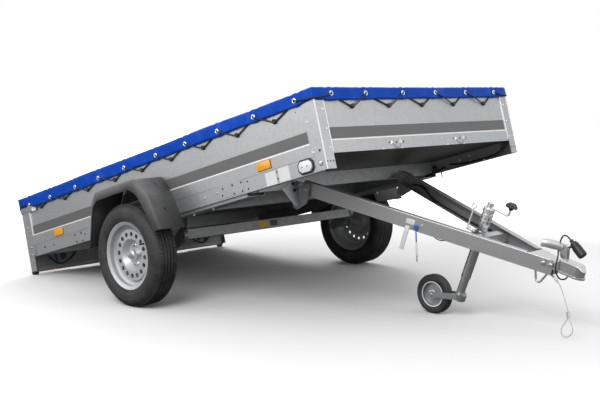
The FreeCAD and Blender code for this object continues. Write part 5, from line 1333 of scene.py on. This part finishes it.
@dataclass
class Lights:
    """The side reflectors, the front marker lamps and the rear lamps.

    Attributes:
        rail: How far out a side rail lies.
        wall: How far out the walls' lower strip lies.
        back: Where the rear lamps' windows start.
        low: How high a rear lamp's foot is.
        high: How high its top is.
    """

    rail: float = 0.783
    wall: float = 0.785
    back: float = -1.2730
    low: float = 0.346
    high: float = 0.398

    def reflectors(self) -> None:
        """Makes the amber reflectors in their black trays."""
        lens, tray = Shape(), Shape()
        for sign in SIDES.values():
            for x in (-0.874, 0.968):
                tray.box((0.095, 0.0024, 0.0425), BOX.along(x, sign * (self.wall + 0.0012), 0.5345), 0.0008)
                lens.box((0.092, 0.0068, 0.0400), BOX.along(x, sign * (self.wall + 0.0036), 0.5345), 0.0022, 3)
        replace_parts(lens.done("reflector_lenses", AMBER), "side_reflectors")
        tray.done("reflector_trays", BLACK)

    def markers(self) -> None:
        """Makes the marker lamps: an eight-sided black housing, a white lens and its two screws."""
        housing, lens = Shape(), Shape()
        left, right, low, high, cut = 1.184, 1.286, 0.4375, 0.5065, 0.019
        outline = [
            (left + cut, low), (right - cut, low), (right, low + cut), (right, high - cut), (right - cut, high),
            (left + cut, high), (left, high - cut), (left, low + cut),
        ]
        across, up = (left + right) / 2 - 0.001, (low + high) / 2
        inner = [(across + (x - across) * 0.80, up + (z - up) * 0.76) for x, z in outline]
        for sign in SIDES.values():
            housing.clad(sign, self.rail, 0.0055, outline, 0.002)
            lens.clad(sign, self.rail, 0.0120, inner, 0.004)
            for off in (-0.016, 0.016):
                housing.disc(0.0036, 0.0008, BOX.flank(sign, across + off, self.rail + 0.0115, up), 14)
        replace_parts(lens.done("marker_lenses", CLEAR), "marker_lamps")
        housing.done("marker_housings", BLACK)

    def tail_lamps(self) -> None:
        """Makes the rear lamps: a black housing with red, amber and clear windows."""
        housing, red, amber, clear = Shape(), Shape(), Shape(), Shape()
        tall, up = self.high - self.low, (self.low + self.high) / 2
        for sign in SIDES.values():
            housing.box((0.017, 0.190, tall), BOX.along(self.back + 0.0115, sign * 0.587, up), 0.004, 3)
            for shape, start, end in ((red, 0.006, 0.084), (amber, 0.087, 0.142), (clear, 0.145, 0.184)):
                place = BOX.along(self.back + 0.0045, sign * (0.682 - (start + end) / 2), up)
                shape.box((0.006, end - start, tall - 0.010), place, 0.002, 3)
        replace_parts(red.done("tail_lamp_red", RED), "tail_lamps")
        amber.done("tail_lamp_amber", AMBER)
        clear.done("tail_lamp_clear", CLEAR)
        housing.done("tail_lamp_housings", BLACK)

    def build(self) -> None:
        """Makes all the lights."""
        self.reflectors()
        self.markers()
        self.tail_lamps()


@dataclass
class RoadWheel:
    """One road wheel's tyre with its tread, and what is fastened to its rim.

    Attributes:
        side: The trailer's side.
        radius: The tyre's radius.
        segments: How many shoulder blocks there are round it.
    """

    side: str
    radius: float = 0.2733
    segments: int = 88

    @property
    def hub(self) -> Matrix:
        """The wheel's middle, with x forward and z along the axle, outwards."""
        return shift(*joint(f"wheel_{self.side}_spin")["pos_m"]) @ turn(-90 * SIDES[self.side], "X")

    def section(self) -> Pairs:
        """Gives the tyre's section from its inner to its outer bead: radius and place across."""
        r, deep = self.radius, self.radius - 0.0065
        half = [
            (0.1660, 0.0522), (0.1820, 0.0604), (0.1850, 0.0690), (0.1885, 0.0722), (0.1925, 0.0722),
            (0.1940, 0.0742), (0.2040, 0.0772), (0.2140, 0.0783), (0.2250, 0.0780), (0.2265, 0.0771),
            (0.2290, 0.0771), (0.2305, 0.0778), (0.2390, 0.0766), (0.2475, 0.0735), (0.2540, 0.0692),
            (0.2600, 0.0630), (0.2650, 0.0575),
            (r - 0.0062, 0.0530), (r - 0.0052, 0.0330), (deep, 0.0322), (deep, 0.0280), (r - 0.0006, 0.0272),
            (r - 0.0002, 0.0128), (deep, 0.0120), (deep, 0.0080), (r, 0.0072),
        ]
        return [(radius, -across) for radius, across in half] + [(radius, across) for radius, across in reversed(half)]

    def tyre(self) -> None:
        """Makes the tyre, with ribs, grooves and blocks cut into its shoulders."""
        shape = Shape()
        shape.lathe(self.section(), Matrix.Identity(4), self.segments)
        shoulders = [
            face for face in shape.bm.faces
            if 0.0325 < abs(face.calc_center_median().z) < 0.0535
            and face.calc_center_median().xy.length > self.radius - 0.0085
        ]
        bmesh.ops.recalc_face_normals(shape.bm, faces=shape.bm.faces)
        bmesh.ops.inset_individual(shape.bm, faces=shoulders, thickness=0.0013, depth=0.0042, use_even_offset=True)
        bmesh.ops.transform(shape.bm, matrix=self.hub, verts=shape.bm.verts)
        tyre = shape.done(f"tyre_tread_{self.side}", TYRE, f"wheel_{self.side}", 28.0)
        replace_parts(tyre, f"tyre_{self.side}")

    def turned(self, angle: float, out: float, up: float) -> Matrix:
        """Gives a place out from the wheel's middle, turned so many degrees, and up along the axle."""
        return self.hub @ turn(angle, "Z") @ shift(out, 0, up)

    def fastened(self) -> None:
        """Makes the wheel bolts, the bright cap over the hub, black rings that paint shade round the disc's holes, and
        the valve.
        """
        sign, body = SIDES[self.side], f"wheel_{self.side}"
        bolts, valve, holes, cap = Shape(), Shape(), Shape(), Shape()
        collar = [(0.0084, 0.0), (0.0120, 0.0), (0.0118, 0.0005), (0.0084, 0.0005), (0.0084, 0.0)]
        for number in range(16):
            holes.lathe(collar, self.turned(22.5 * number, 0.1115, 0.0340), 20)
        dome = [
            (0.0262, 0.0058), (0.0262, 0.0090), (0.0248, 0.0100), (0.0246, 0.0270), (0.0226, 0.0318),
            (0.0120, 0.0346), (0.0, 0.0352),
        ]
        cap.lathe(dome, self.hub, 32)
        for number in range(4):
            place = self.turned(90 * number - sign * 10, 0.049, 0.0060)
            bolts.disc(0.0125, 0.0030, place, 20, 0.8)
            bolts.disc(0.0098, 0.0150, place, 6, rounding=0.0012)
        stem = self.turned(-sign * 33, 0.133, 0.034) @ turn(-14, "Y")
        valve.disc(0.0055, 0.010, stem, 16, 0.8)
        valve.disc(0.0036, 0.030, stem, 14, rounding=0.0008)
        holes.done(f"disc_hole_shade_{self.side}", PAINTED_SHADE, body)
        cap.done(f"hub_cover_{self.side}", CAP_ZINC, body)
        bolts.done(f"wheel_bolts_{self.side}", BRIGHT_ZINC, body)
        valve.done(f"valve_{self.side}", BLACK, body)

    def build(self) -> None:
        """Makes the wheel's dressing."""
        self.tyre()
        self.fastened()


@dataclass
class Guard:
    """One mudguard: a moulded hood over the wheel, open below, with a lip round the wheel's opening.

    Attributes:
        side: The trailer's side.
        wall: How far out it meets the box.
        outer: How far out its lip is.
        thick: How thick its wall is.
        rim: The outer edge, from the foot behind the wheel over the top to the foot ahead of it.
        back: The edge along the box.
        mouth: The opening's edge in the lip.
    """

    side: str
    wall: float = 0.7835
    outer: float = 0.9828
    thick: float = 0.0040
    rim: tuple[tuple[float, float], ...] = (
        (-0.288, 0.364), (-0.207, 0.586), (-0.152, 0.6455), (0.020, 0.6478), (0.200, 0.6450), (0.262, 0.580),
        (0.298, 0.548), (0.352, 0.357),
    )
    back: tuple[tuple[float, float], ...] = (
        (-0.288, 0.364), (-0.207, 0.586), (-0.152, 0.6475), (0.020, 0.6490), (0.184, 0.6480), (0.238, 0.572),
        (0.256, 0.530), (0.303, 0.357),
    )
    mouth: tuple[tuple[float, float], ...] = (
        (-0.281, 0.364), (-0.196, 0.566), (-0.150, 0.598), (0.020, 0.6005), (0.151, 0.600), (0.204, 0.565),
        (0.226, 0.532), (0.300, 0.357),
    )

    def hood(self) -> None:
        """Makes the hood: a band over the wheel, turned down into the lip, with rounded creases and edge."""
        sign, bm = SIDES[self.side], bmesh.new()
        lines = [
            [bm.verts.new((x, sign * y, z)) for x, z in line]
            for line, y in ((self.back, self.wall), (self.rim, self.outer), (self.mouth, self.outer - 0.001))
        ]
        for upper, lower in zip(lines, lines[1:]):
            for spot in range(len(self.rim) - 1):
                bm.faces.new((upper[spot], upper[spot + 1], lower[spot + 1], lower[spot]))
        bmesh.ops.recalc_face_normals(bm, faces=bm.faces)
        edge = {frozenset(pair) for pair in zip(lines[1], lines[1][1:])}
        folds = {
            frozenset((line[spot], after[spot])) for line, after in zip(lines, lines[1:]) for spot in (1, 2, 4, 5, 6)
        }
        chosen = [item for item in bm.edges if frozenset(item.verts) in edge | folds]
        bmesh.ops.bevel(bm, geom=chosen, offset=0.011, segments=4, profile=0.5, affect="EDGES", material=-1)
        bmesh.ops.remove_doubles(bm, verts=bm.verts, dist=1e-5)
        bmesh.ops.recalc_face_normals(bm, faces=bm.faces)
        bmesh.ops.transform(bm, matrix=BOX.matrix, verts=bm.verts)
        name = f"guard_hood_{self.side}"
        piece = shown(name, smooth_mesh(bm, name, GUARD, 40.0))
        walled(piece, self.thick, True)
        riding(piece, "box")
        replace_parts(piece, f"mudguard_{self.side}")

    def details(self) -> None:
        """Makes the raised ribs over the top and the front, a black disc of painted shade for the drain hole in the
        front, and the fixings.
        """
        sign = SIDES[self.side]
        ribs, pins, drain = Shape(), Shape(), Shape()
        sloped, steep = turn(47, "Y"), turn(75, "Y")
        for y in (0.852, 0.922):
            ribs.box((0.300, 0.0050, 0.0024), BOX.along(0.024, sign * y, 0.6500), 0.0008)
            ribs.box((0.060, 0.0050, 0.0024), BOX.along(0.2290, sign * y, 0.6128) @ sloped, 0.0008)
        drain.disc(0.0050, 0.0008, BOX.along(0.3070, sign * 0.893, 0.4650) @ steep, 16)
        for x, z in ((-0.100, 0.626), (0.036, 0.630), (0.160, 0.626)):
            pins.rivet(BOX.flank(sign, x, 0.7855, z), 0.007)
        ribs.done(f"guard_ribs_{self.side}", GUARD)
        drain.done(f"guard_drain_shade_{self.side}", PAINTED_SHADE)
        pins.done(f"guard_pins_{self.side}", BRIGHT_ZINC)

    def build(self) -> None:
        """Makes the mudguard and what is on it."""
        self.hood()
        self.details()


@dataclass
class LampPanel:
    """The sheet over the rear lamps, with the lamps' backs and their wiring clipped to its front.

    Attributes:
        face: Where its front face is.
        half: Half its width.
        wire: The wiring's radius.
    """

    face: float = -1.2210
    half: float = 0.782
    wire: float = 0.0042

    def build(self) -> None:
        """Makes the panel, the lamps' backs, the wiring and the fixings."""
        sheet, lines, backs = Shape(), Shape(), Shape()
        sheet.slab(rectangle(-self.half, self.half, 0.337, 0.504), -0.0015, BOX.front(self.face))
        for z in (0.3480, 0.3570):
            lines.box((0.0016, 2 * self.half, 0.0022), BOX.along(self.face + 0.0006, 0, z), 0.0005)
        wires = {
            "outer": (
                (0.702, 0.480), (0.690, 0.450), (0.668, 0.415), (0.621, 0.375), (0.585, 0.366), (0.540, 0.384),
                (0.500, 0.405), (0.470, 0.440), (0.440, 0.470),
            ),
            "inner": ((0.621, 0.500), (0.620, 0.450), (0.622, 0.410), (0.621, 0.378)),
        }
        carrier = [(-0.600, 0.388), (0.030, 0.388), (0.060, 0.456), (-0.600, 0.456)]
        for side, sign in SIDES.items():
            backs.disc(0.0220, 0.0110, BOX.ahead(self.face, sign * 0.567, 0.413), 28, 0.9, 0.002)
            for y, z in ((0.456, 0.425), (0.373, 0.423), (0.301, 0.416), (0.644, 0.3425)):
                lines.rivet(BOX.ahead(self.face, sign * y, z), 0.0050)
            for name, wire in wires.items():
                points = [BOX.at(self.face + self.wire + 0.0008, sign * y, z) for y, z in wire]
                strand(f"lamp_wiring_{name}_{side}", points, self.wire, SHEATH)
            sheet.clad(sign, 0.600, 0.003, carrier)
        sheet.done("lamp_panel", SHADOW_ZINC)
        lines.done("lamp_panel_folds", BEAM_ZINC)
        backs.done("lamp_backs", BLACK)


@dataclass
class Drawbar:
    """What is fastened and hung along the drawbar and its hinge.

    Attributes:
        hinge: How far out the hinge plates' outer faces lie.
        station: How far along the jockey tube stands.
        rail: How far out the inner face of a side rail lies.
    """

    hinge: float = 0.4312
    station: float = 0.7875
    rail: float = 0.7440

    def bolts(self) -> None:
        """Makes the bolts through the beams, and the hinge's faces and bolts, near-white strips that paint its edges'
        highlights, and its nuts in black painted shade.
        """
        shank, bolts, faces, edges, nuts = Shape(), Shape(), Shape(), Shape(), Shape()
        cheek = [
            (0.800, 0.475), (0.820, 0.467), (0.895, 0.435), (0.854, 0.344), (0.783, 0.327), (0.756, 0.344),
            (0.790, 0.432), (0.800, 0.432),
        ]
        wing = ((0.4335, 0.474), (0.5300, 0.4385), (0.4605, 0.345), (0.4335, 0.345))
        strip = ((0.5300, 0.4400), (0.5335, 0.4380), (0.4635, 0.3440), (0.4595, 0.3440))
        for sign in SIDES.values():
            for x in (1.167, 1.200):
                shank.bolt(BAR.flank(sign, x, BEAM_ROOT - 0.376 * x / 1.212 + 0.0002, 0.0120), 0.0085)
            for x, z in ((0.835, 0.449), (0.829, 0.420), (0.865, 0.414)):
                bolts.bolt(BOX.flank(sign, x, self.hinge, z), 0.008)
            faces.clad(sign, self.hinge, 0.0014, cheek)
            faces.slab([(sign * y, z) for y, z in wing], 0.0012, BOX.front(0.8051))
            edges.slab([(sign * y, z) for y, z in strip], 0.0030, BOX.front(0.8040))
            for radius, y, z in ((0.0090, 0.450, 0.4580), (0.0080, 0.448, 0.4240)):
                nuts.disc(radius, 0.0050, BOX.ahead(0.8062, sign * y, z), 6)
        shank.done("drawbar_bolts", BRIGHT_ZINC, "drawbar")
        bolts.done("hinge_bolts", BRIGHT_ZINC)
        edges.done("hinge_edge_highlights", PAINTED_HIGHLIGHT)
        faces.done("hinge_faces", HINGE_ZINC)
        nuts.done("hinge_nut_shade", PAINTED_SHADE)

    def edges(self) -> None:
        """Makes near-white strips along the beams' top bends: painted highlights."""
        shape = Shape()
        for sign in SIDES.values():
            low, high = (beam(sign) @ Vector((x, -sign * 0.0012, 0.0345)) for x in (0.030, 1.250))
            shape.disc(0.0020, (high - low).length, aimed(low, high - low), 12)
        shape.done("beam_bend_highlights", PAINTED_HIGHLIGHT, "drawbar")

    def winder_details(self) -> None:
        """Makes black discs that paint the shade of the winding head's holes, and the spacer on the clamp's stem."""
        holes, spacer = Shape(), Shape()
        tube = Matrix.Translation(BAR.at(self.station, 0, 0) - LEG.origin) @ LEG.matrix
        flat = turn(90, "Y")
        for angle in range(-110, 211, 40):
            for z in (0.074, 0.094):
                holes.disc(0.0040, 0.0004, tube @ turn(angle, "Z") @ shift(0.0274, 0, z) @ flat, 14)
        spacer.disc(0.0085, 0.010, tube @ shift(-0.078, 0, 0.004) @ flat, 18)
        holes.done("winder_hole_shade", PAINTED_SHADE, "drawbar")
        spacer.done("clamp_spacer", WHITE_LABEL, "drawbar")

    def lever(self) -> None:
        """Makes the pressed channel of the coupling's lever and near-white rings on the jockey wheel's rim edges,
        which paint their highlights.
        """
        channel, bands = Shape(), Shape()
        outline = [
            (1.1150, 0.0690), (1.1850, 0.0800), (1.2240, 0.0890), (1.2260, 0.1120), (1.1960, 0.1180),
            (1.1400, 0.1100), (1.1160, 0.1030),
        ]
        channel.slab(outline, 0.0352, BAR.side(0.0176), 0.004)
        outer = [(0.0600, 0.0205), (0.0600, 0.0216), (0.0640, 0.0222), (0.0655, 0.0205), (0.0600, 0.0205)]
        inner = [(0.0180, 0.0205), (0.0180, 0.0222), (0.0225, 0.0222), (0.0225, 0.0205), (0.0180, 0.0205)]
        wheel = Matrix.Translation(joint("jockey_wheel_spin")["pos_m"])
        for angle in (270, 90):
            face = wheel @ turn(angle, "X")
            bands.lathe(outer, face, 40)
            bands.lathe(inner, face, 28)
        channel.done("lever_channel", COUPLING_ZINC, "drawbar")
        bands.done("jockey_rim_highlights", PAINTED_HIGHLIGHT, "jockey_wheel")

    def hangings(self) -> None:
        """Makes the clip, the sleeve, the strap and the blank tag that hang on the right beam."""
        clear, strap, white, green = Shape(), Shape(), Shape(), Shape()
        plumb = Matrix.Rotation(BAR.lean, 4, "Z")

        def placed(x: float, z: float, out: float) -> Matrix:
            """Gives a place off the right beam's outer face."""
            return beam(-1) @ shift(x, -out, z) @ turn(90, "X")

        white.disc(0.0052, 0.0030, placed(0.6250, 0.0047, 0.0002), 16, rounding=0.001)
        clear.box((0.046, 0.026, 0.006), placed(0.566, 0.0040, 0.0036), 0.003, 3)
        clear.box((0.024, 0.122, 0.010), placed(0.5540, -0.0800, 0.0070) @ turn(-3.43775, "Z"), 0.0045, 3)
        strap.box((0.007, 0.074, 0.0022), placed(0.6088, -0.0480, 0.0080) @ plumb, 0.0008)
        strap.box((0.022, 0.020, 0.0040), placed(0.5980, -0.0140, 0.0078), 0.0016)
        white.box((0.011, 0.074, 0.0012), placed(0.6275, -0.1165, 0.0082) @ plumb, 0.0004)
        green.box((0.007, 0.030, 0.0014), placed(0.6400, -0.1620, 0.0082) @ plumb, 0.0004)
        clear.done("clear_sleeve", CLEAR, "drawbar")
        strap.done("blue_strap_end", BLUE_STRAP, "drawbar")
        white.done("blank_tag", WHITE_LABEL, "drawbar")
        green.done("blank_tag_foot", GREEN_LABEL, "drawbar")

    def far_wiring(self) -> None:
        """Makes the black wiring in the left beam and along the left rail, and the fixings inside both rails."""
        inner = (
            (0.060, -0.016), (0.120, 0.004), (0.180, 0.006), (0.240, -0.020), (0.330, -0.030), (0.520, -0.031),
            (0.700, -0.028), (0.780, -0.012),
        )
        loom = (
            (-0.900, 0.478), (-0.750, 0.472), (-0.563, 0.463), (-0.345, 0.449), (-0.180, 0.431), (-0.090, 0.416),
            (-0.021, 0.428), (0.200, 0.430), (0.420, 0.420), (0.621, 0.413), (0.800, 0.428), (0.930, 0.450),
        )
        arc = (
            (0.930, 0.462), (1.000, 0.449), (1.115, 0.445), (1.205, 0.445), (1.261, 0.452), (1.296, 0.466),
            (1.300, 0.480),
        )
        points = [beam(1) @ Vector((x, -0.0110, z)) for x, z in inner]
        strand("beam_wiring", points, 0.0048, SHEATH, "drawbar")
        strand("rail_wiring", [BOX.at(x, 0.700, z) for x, z in loom], 0.0060, SHEATH)
        strand("marker_wiring", [BOX.at(x, 0.742, z) for x, z in arc], 0.0045, SHEATH)
        rivets, ends = Shape(), Shape()
        for sign in SIDES.values():
            for x, z in ((1.078, 0.481), (1.006, 0.471), (1.078, 0.449), (1.170, 0.438)):
                rivets.rivet(BOX.flank(-sign, x, -self.rail, z), 0.0070)
            for x in (0.776, 0.827):
                ends.disc(0.0130, 0.0040, BOX.flank(-sign, x, -self.rail, 0.4660), 22, rounding=0.001)
            ends.disc(0.0036, 0.0300, BOX.along(0.856, sign * 0.752, 0.4030), 12)
        # The rivets are near-white: painted glints.
        rivets.done("rail_rivets", PAINTED_HIGHLIGHT)
        ends.done("rail_plugs", BLACK)

    def build(self) -> None:
        """Makes what is fastened along the drawbar."""
        self.bolts()
        self.edges()
        self.winder_details()
        self.lever()
        self.hangings()
        self.far_wiring()


@dataclass
class Cords:
    """The free cords, on the lines of their packed tubes.

    Attributes:
        lead: The lead from the coupling's gland up to its plug, from the ball, on the drawbar's axes.
        loop: The lamp lead's loop inside the right beam, along that beam.
        rope: The safety rope from the coupling, plumb from where it starts.
        ball: How far along the drawbar the ball is.
        eye: Where the safety rope starts, on the drawbar's axes.
    """

    lead: tuple[Triple, ...] = (
        (-0.042, 0.008, 0.0017), (-0.042, 0.008, -0.019), (-0.05, -0.003, -0.037), (-0.064, -0.022, -0.038),
        (-0.077, -0.039, -0.019), (-0.084, -0.049, 0.005), (-0.088, -0.051, 0.031), (-0.092, -0.042, 0.056),
        (-0.104, -0.02, 0.068), (-0.12, 0.003, 0.072), (-0.131, 0.022, 0.084), (-0.136, 0.031, 0.104),
        (-0.134, 0.027, 0.126), (-0.125, 0.017, 0.145), (-0.11, 0.007, 0.157), (-0.0899, 0, 0.15666),
        (-0.07375, 0, 0.14665),
    )
    loop: tuple[Triple, ...] = (
        (0.6073, 0.01, -0.014), (0.625, 0.01, -0.014), (0.641, 0.022, -0.018), (0.655, 0.038, -0.021),
        (0.672, 0.046, -0.041), (0.696, 0.046, -0.054), (0.724, 0.046, -0.055), (0.747, 0.046, -0.042),
        (0.764, 0.038, -0.021), (0.778, 0.022, -0.018), (0.7934, 0.01, -0.014), (0.8107, 0.01, -0.014),
    )
    rope: tuple[Triple, ...] = (
        (0.018, 0, -0.02), (0.0333, 0, -0.037), (0.05, -0.013, -0.057), (0.069, -0.0295, -0.082),
        (0.082, -0.032, -0.11), (0.0885, -0.03, -0.136), (0.0956, -0.033, -0.159), (0.1006, -0.0351, -0.176),
        (0.112, -0.038, -0.196), (0.121, -0.041, -0.215), (0.119, -0.042, -0.236), (0.105, -0.043, -0.253),
        (0.084, -0.044, -0.2595), (0.067, -0.044, -0.25), (0.064, -0.0435, -0.229), (0.071, -0.0415, -0.21),
        (0.082, -0.0385, -0.192), (0.09466, -0.0345, -0.1715), (0.0893, -0.032, -0.1479),
    )
    ball: float = 1.320
    eye: Triple = (1.216, 0, -0.04685)

    def build(self) -> None:
        """Makes the three cords in place of the imported ones."""
        points = [BAR.at(self.ball + x, y, z) for x, y, z in self.lead]
        lead = strand("plug_lead", points, 0.0035, SHEATH, "drawbar")
        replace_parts(lead, "power_cable")
        points = [beam(-1) @ Vector(place) for place in self.loop]
        loop = strand("lamp_lead", points, 0.0025, SHEATH, "drawbar")
        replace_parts(loop, "thin_cable")
        points = [BAR.at(*self.eye) + Vector(place) for place in self.rope]
        rope = strand("safety_rope", points, 0.00225, STEEL_ROPE, "drawbar")
        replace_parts(rope, "breakaway_rope")


@dataclass
class Dressing:
    """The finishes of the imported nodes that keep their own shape.

    Attributes:
        finishes: Each finish with what its nodes' names start with; the first that fits counts.
        other: The finish of all other nodes.
    """

    finishes: tuple[tuple, ...] = (
        # The floor's film, the axle and the swing arms are darkened for painted shade under the box.
        (FLOOR_BOARD, "floor_panel"), (AXLE_ZINC, "axle_beam", "swing_arm"), (FOOT, "tail_feet"),
        (AMBER, "side_reflectors"), (RED, "tail_lamps"), (CLEAR, "marker_lamps"), (COVER_CLOTH, "tarp_"),
        (TYRE, "tyre", "jockey_tyre"), (BEAM_ZINC, "jockey_rim"), (POLISHED, "jockey_winder"),
        (BRIGHT_ZINC, "rope_ferrules", "gate_latches", "coupling_foot", "jockey_"), (HINGE_ZINC, "hinge_brackets"),
        # The clamp is near-white paint for its painted highlight, and the coupling's zinc is lighter to paint its
        # highlight.
        (COUPLING_ZINC, "coupling"), (DRAWBAR_ZINC, "drawbar_beam"), (PAINTED_HIGHLIGHT, "clamp"), (RIM_PAINT, "rim_"),
        (BLACK, "crank_knob", "plug"), (SHEATH, "power", "thin_cable"), (STEEL_ROPE, "breakaway"),
        (GALVANISED, "side_", "front_", "rear_posts", "tailgate", "rail_plates"), (GUARD, "mudguard"),
    )
    other: Finish = BEAM_ZINC

    def finish_of(self, node: str) -> Finish:
        """Gives the finish of a node by its name."""
        return next((finish for finish, *starts in self.finishes if node.startswith(tuple(starts))), self.other)

    def build(self) -> None:
        """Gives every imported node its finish."""
        for name, node in frame["nodes"].items():
            node.data.materials.clear()
            node.data.materials.append(self.finish_of(name).material())
        LOG.info("%d nodes finished", len(frame["nodes"]))


def main() -> None:
    """Builds the scene in order."""
    logging.basicConfig(level=logging.INFO, format="%(message)s")
    Studio().build()
    Cords().build()
    Dressing().build()
    Cover().build()
    Walls().build()
    Lights().build()
    for side in SIDES:
        RoadWheel(side).build()
        Guard(side).build()
    LampPanel().build()
    Drawbar().build()


if __name__ == "__main__":
    main()
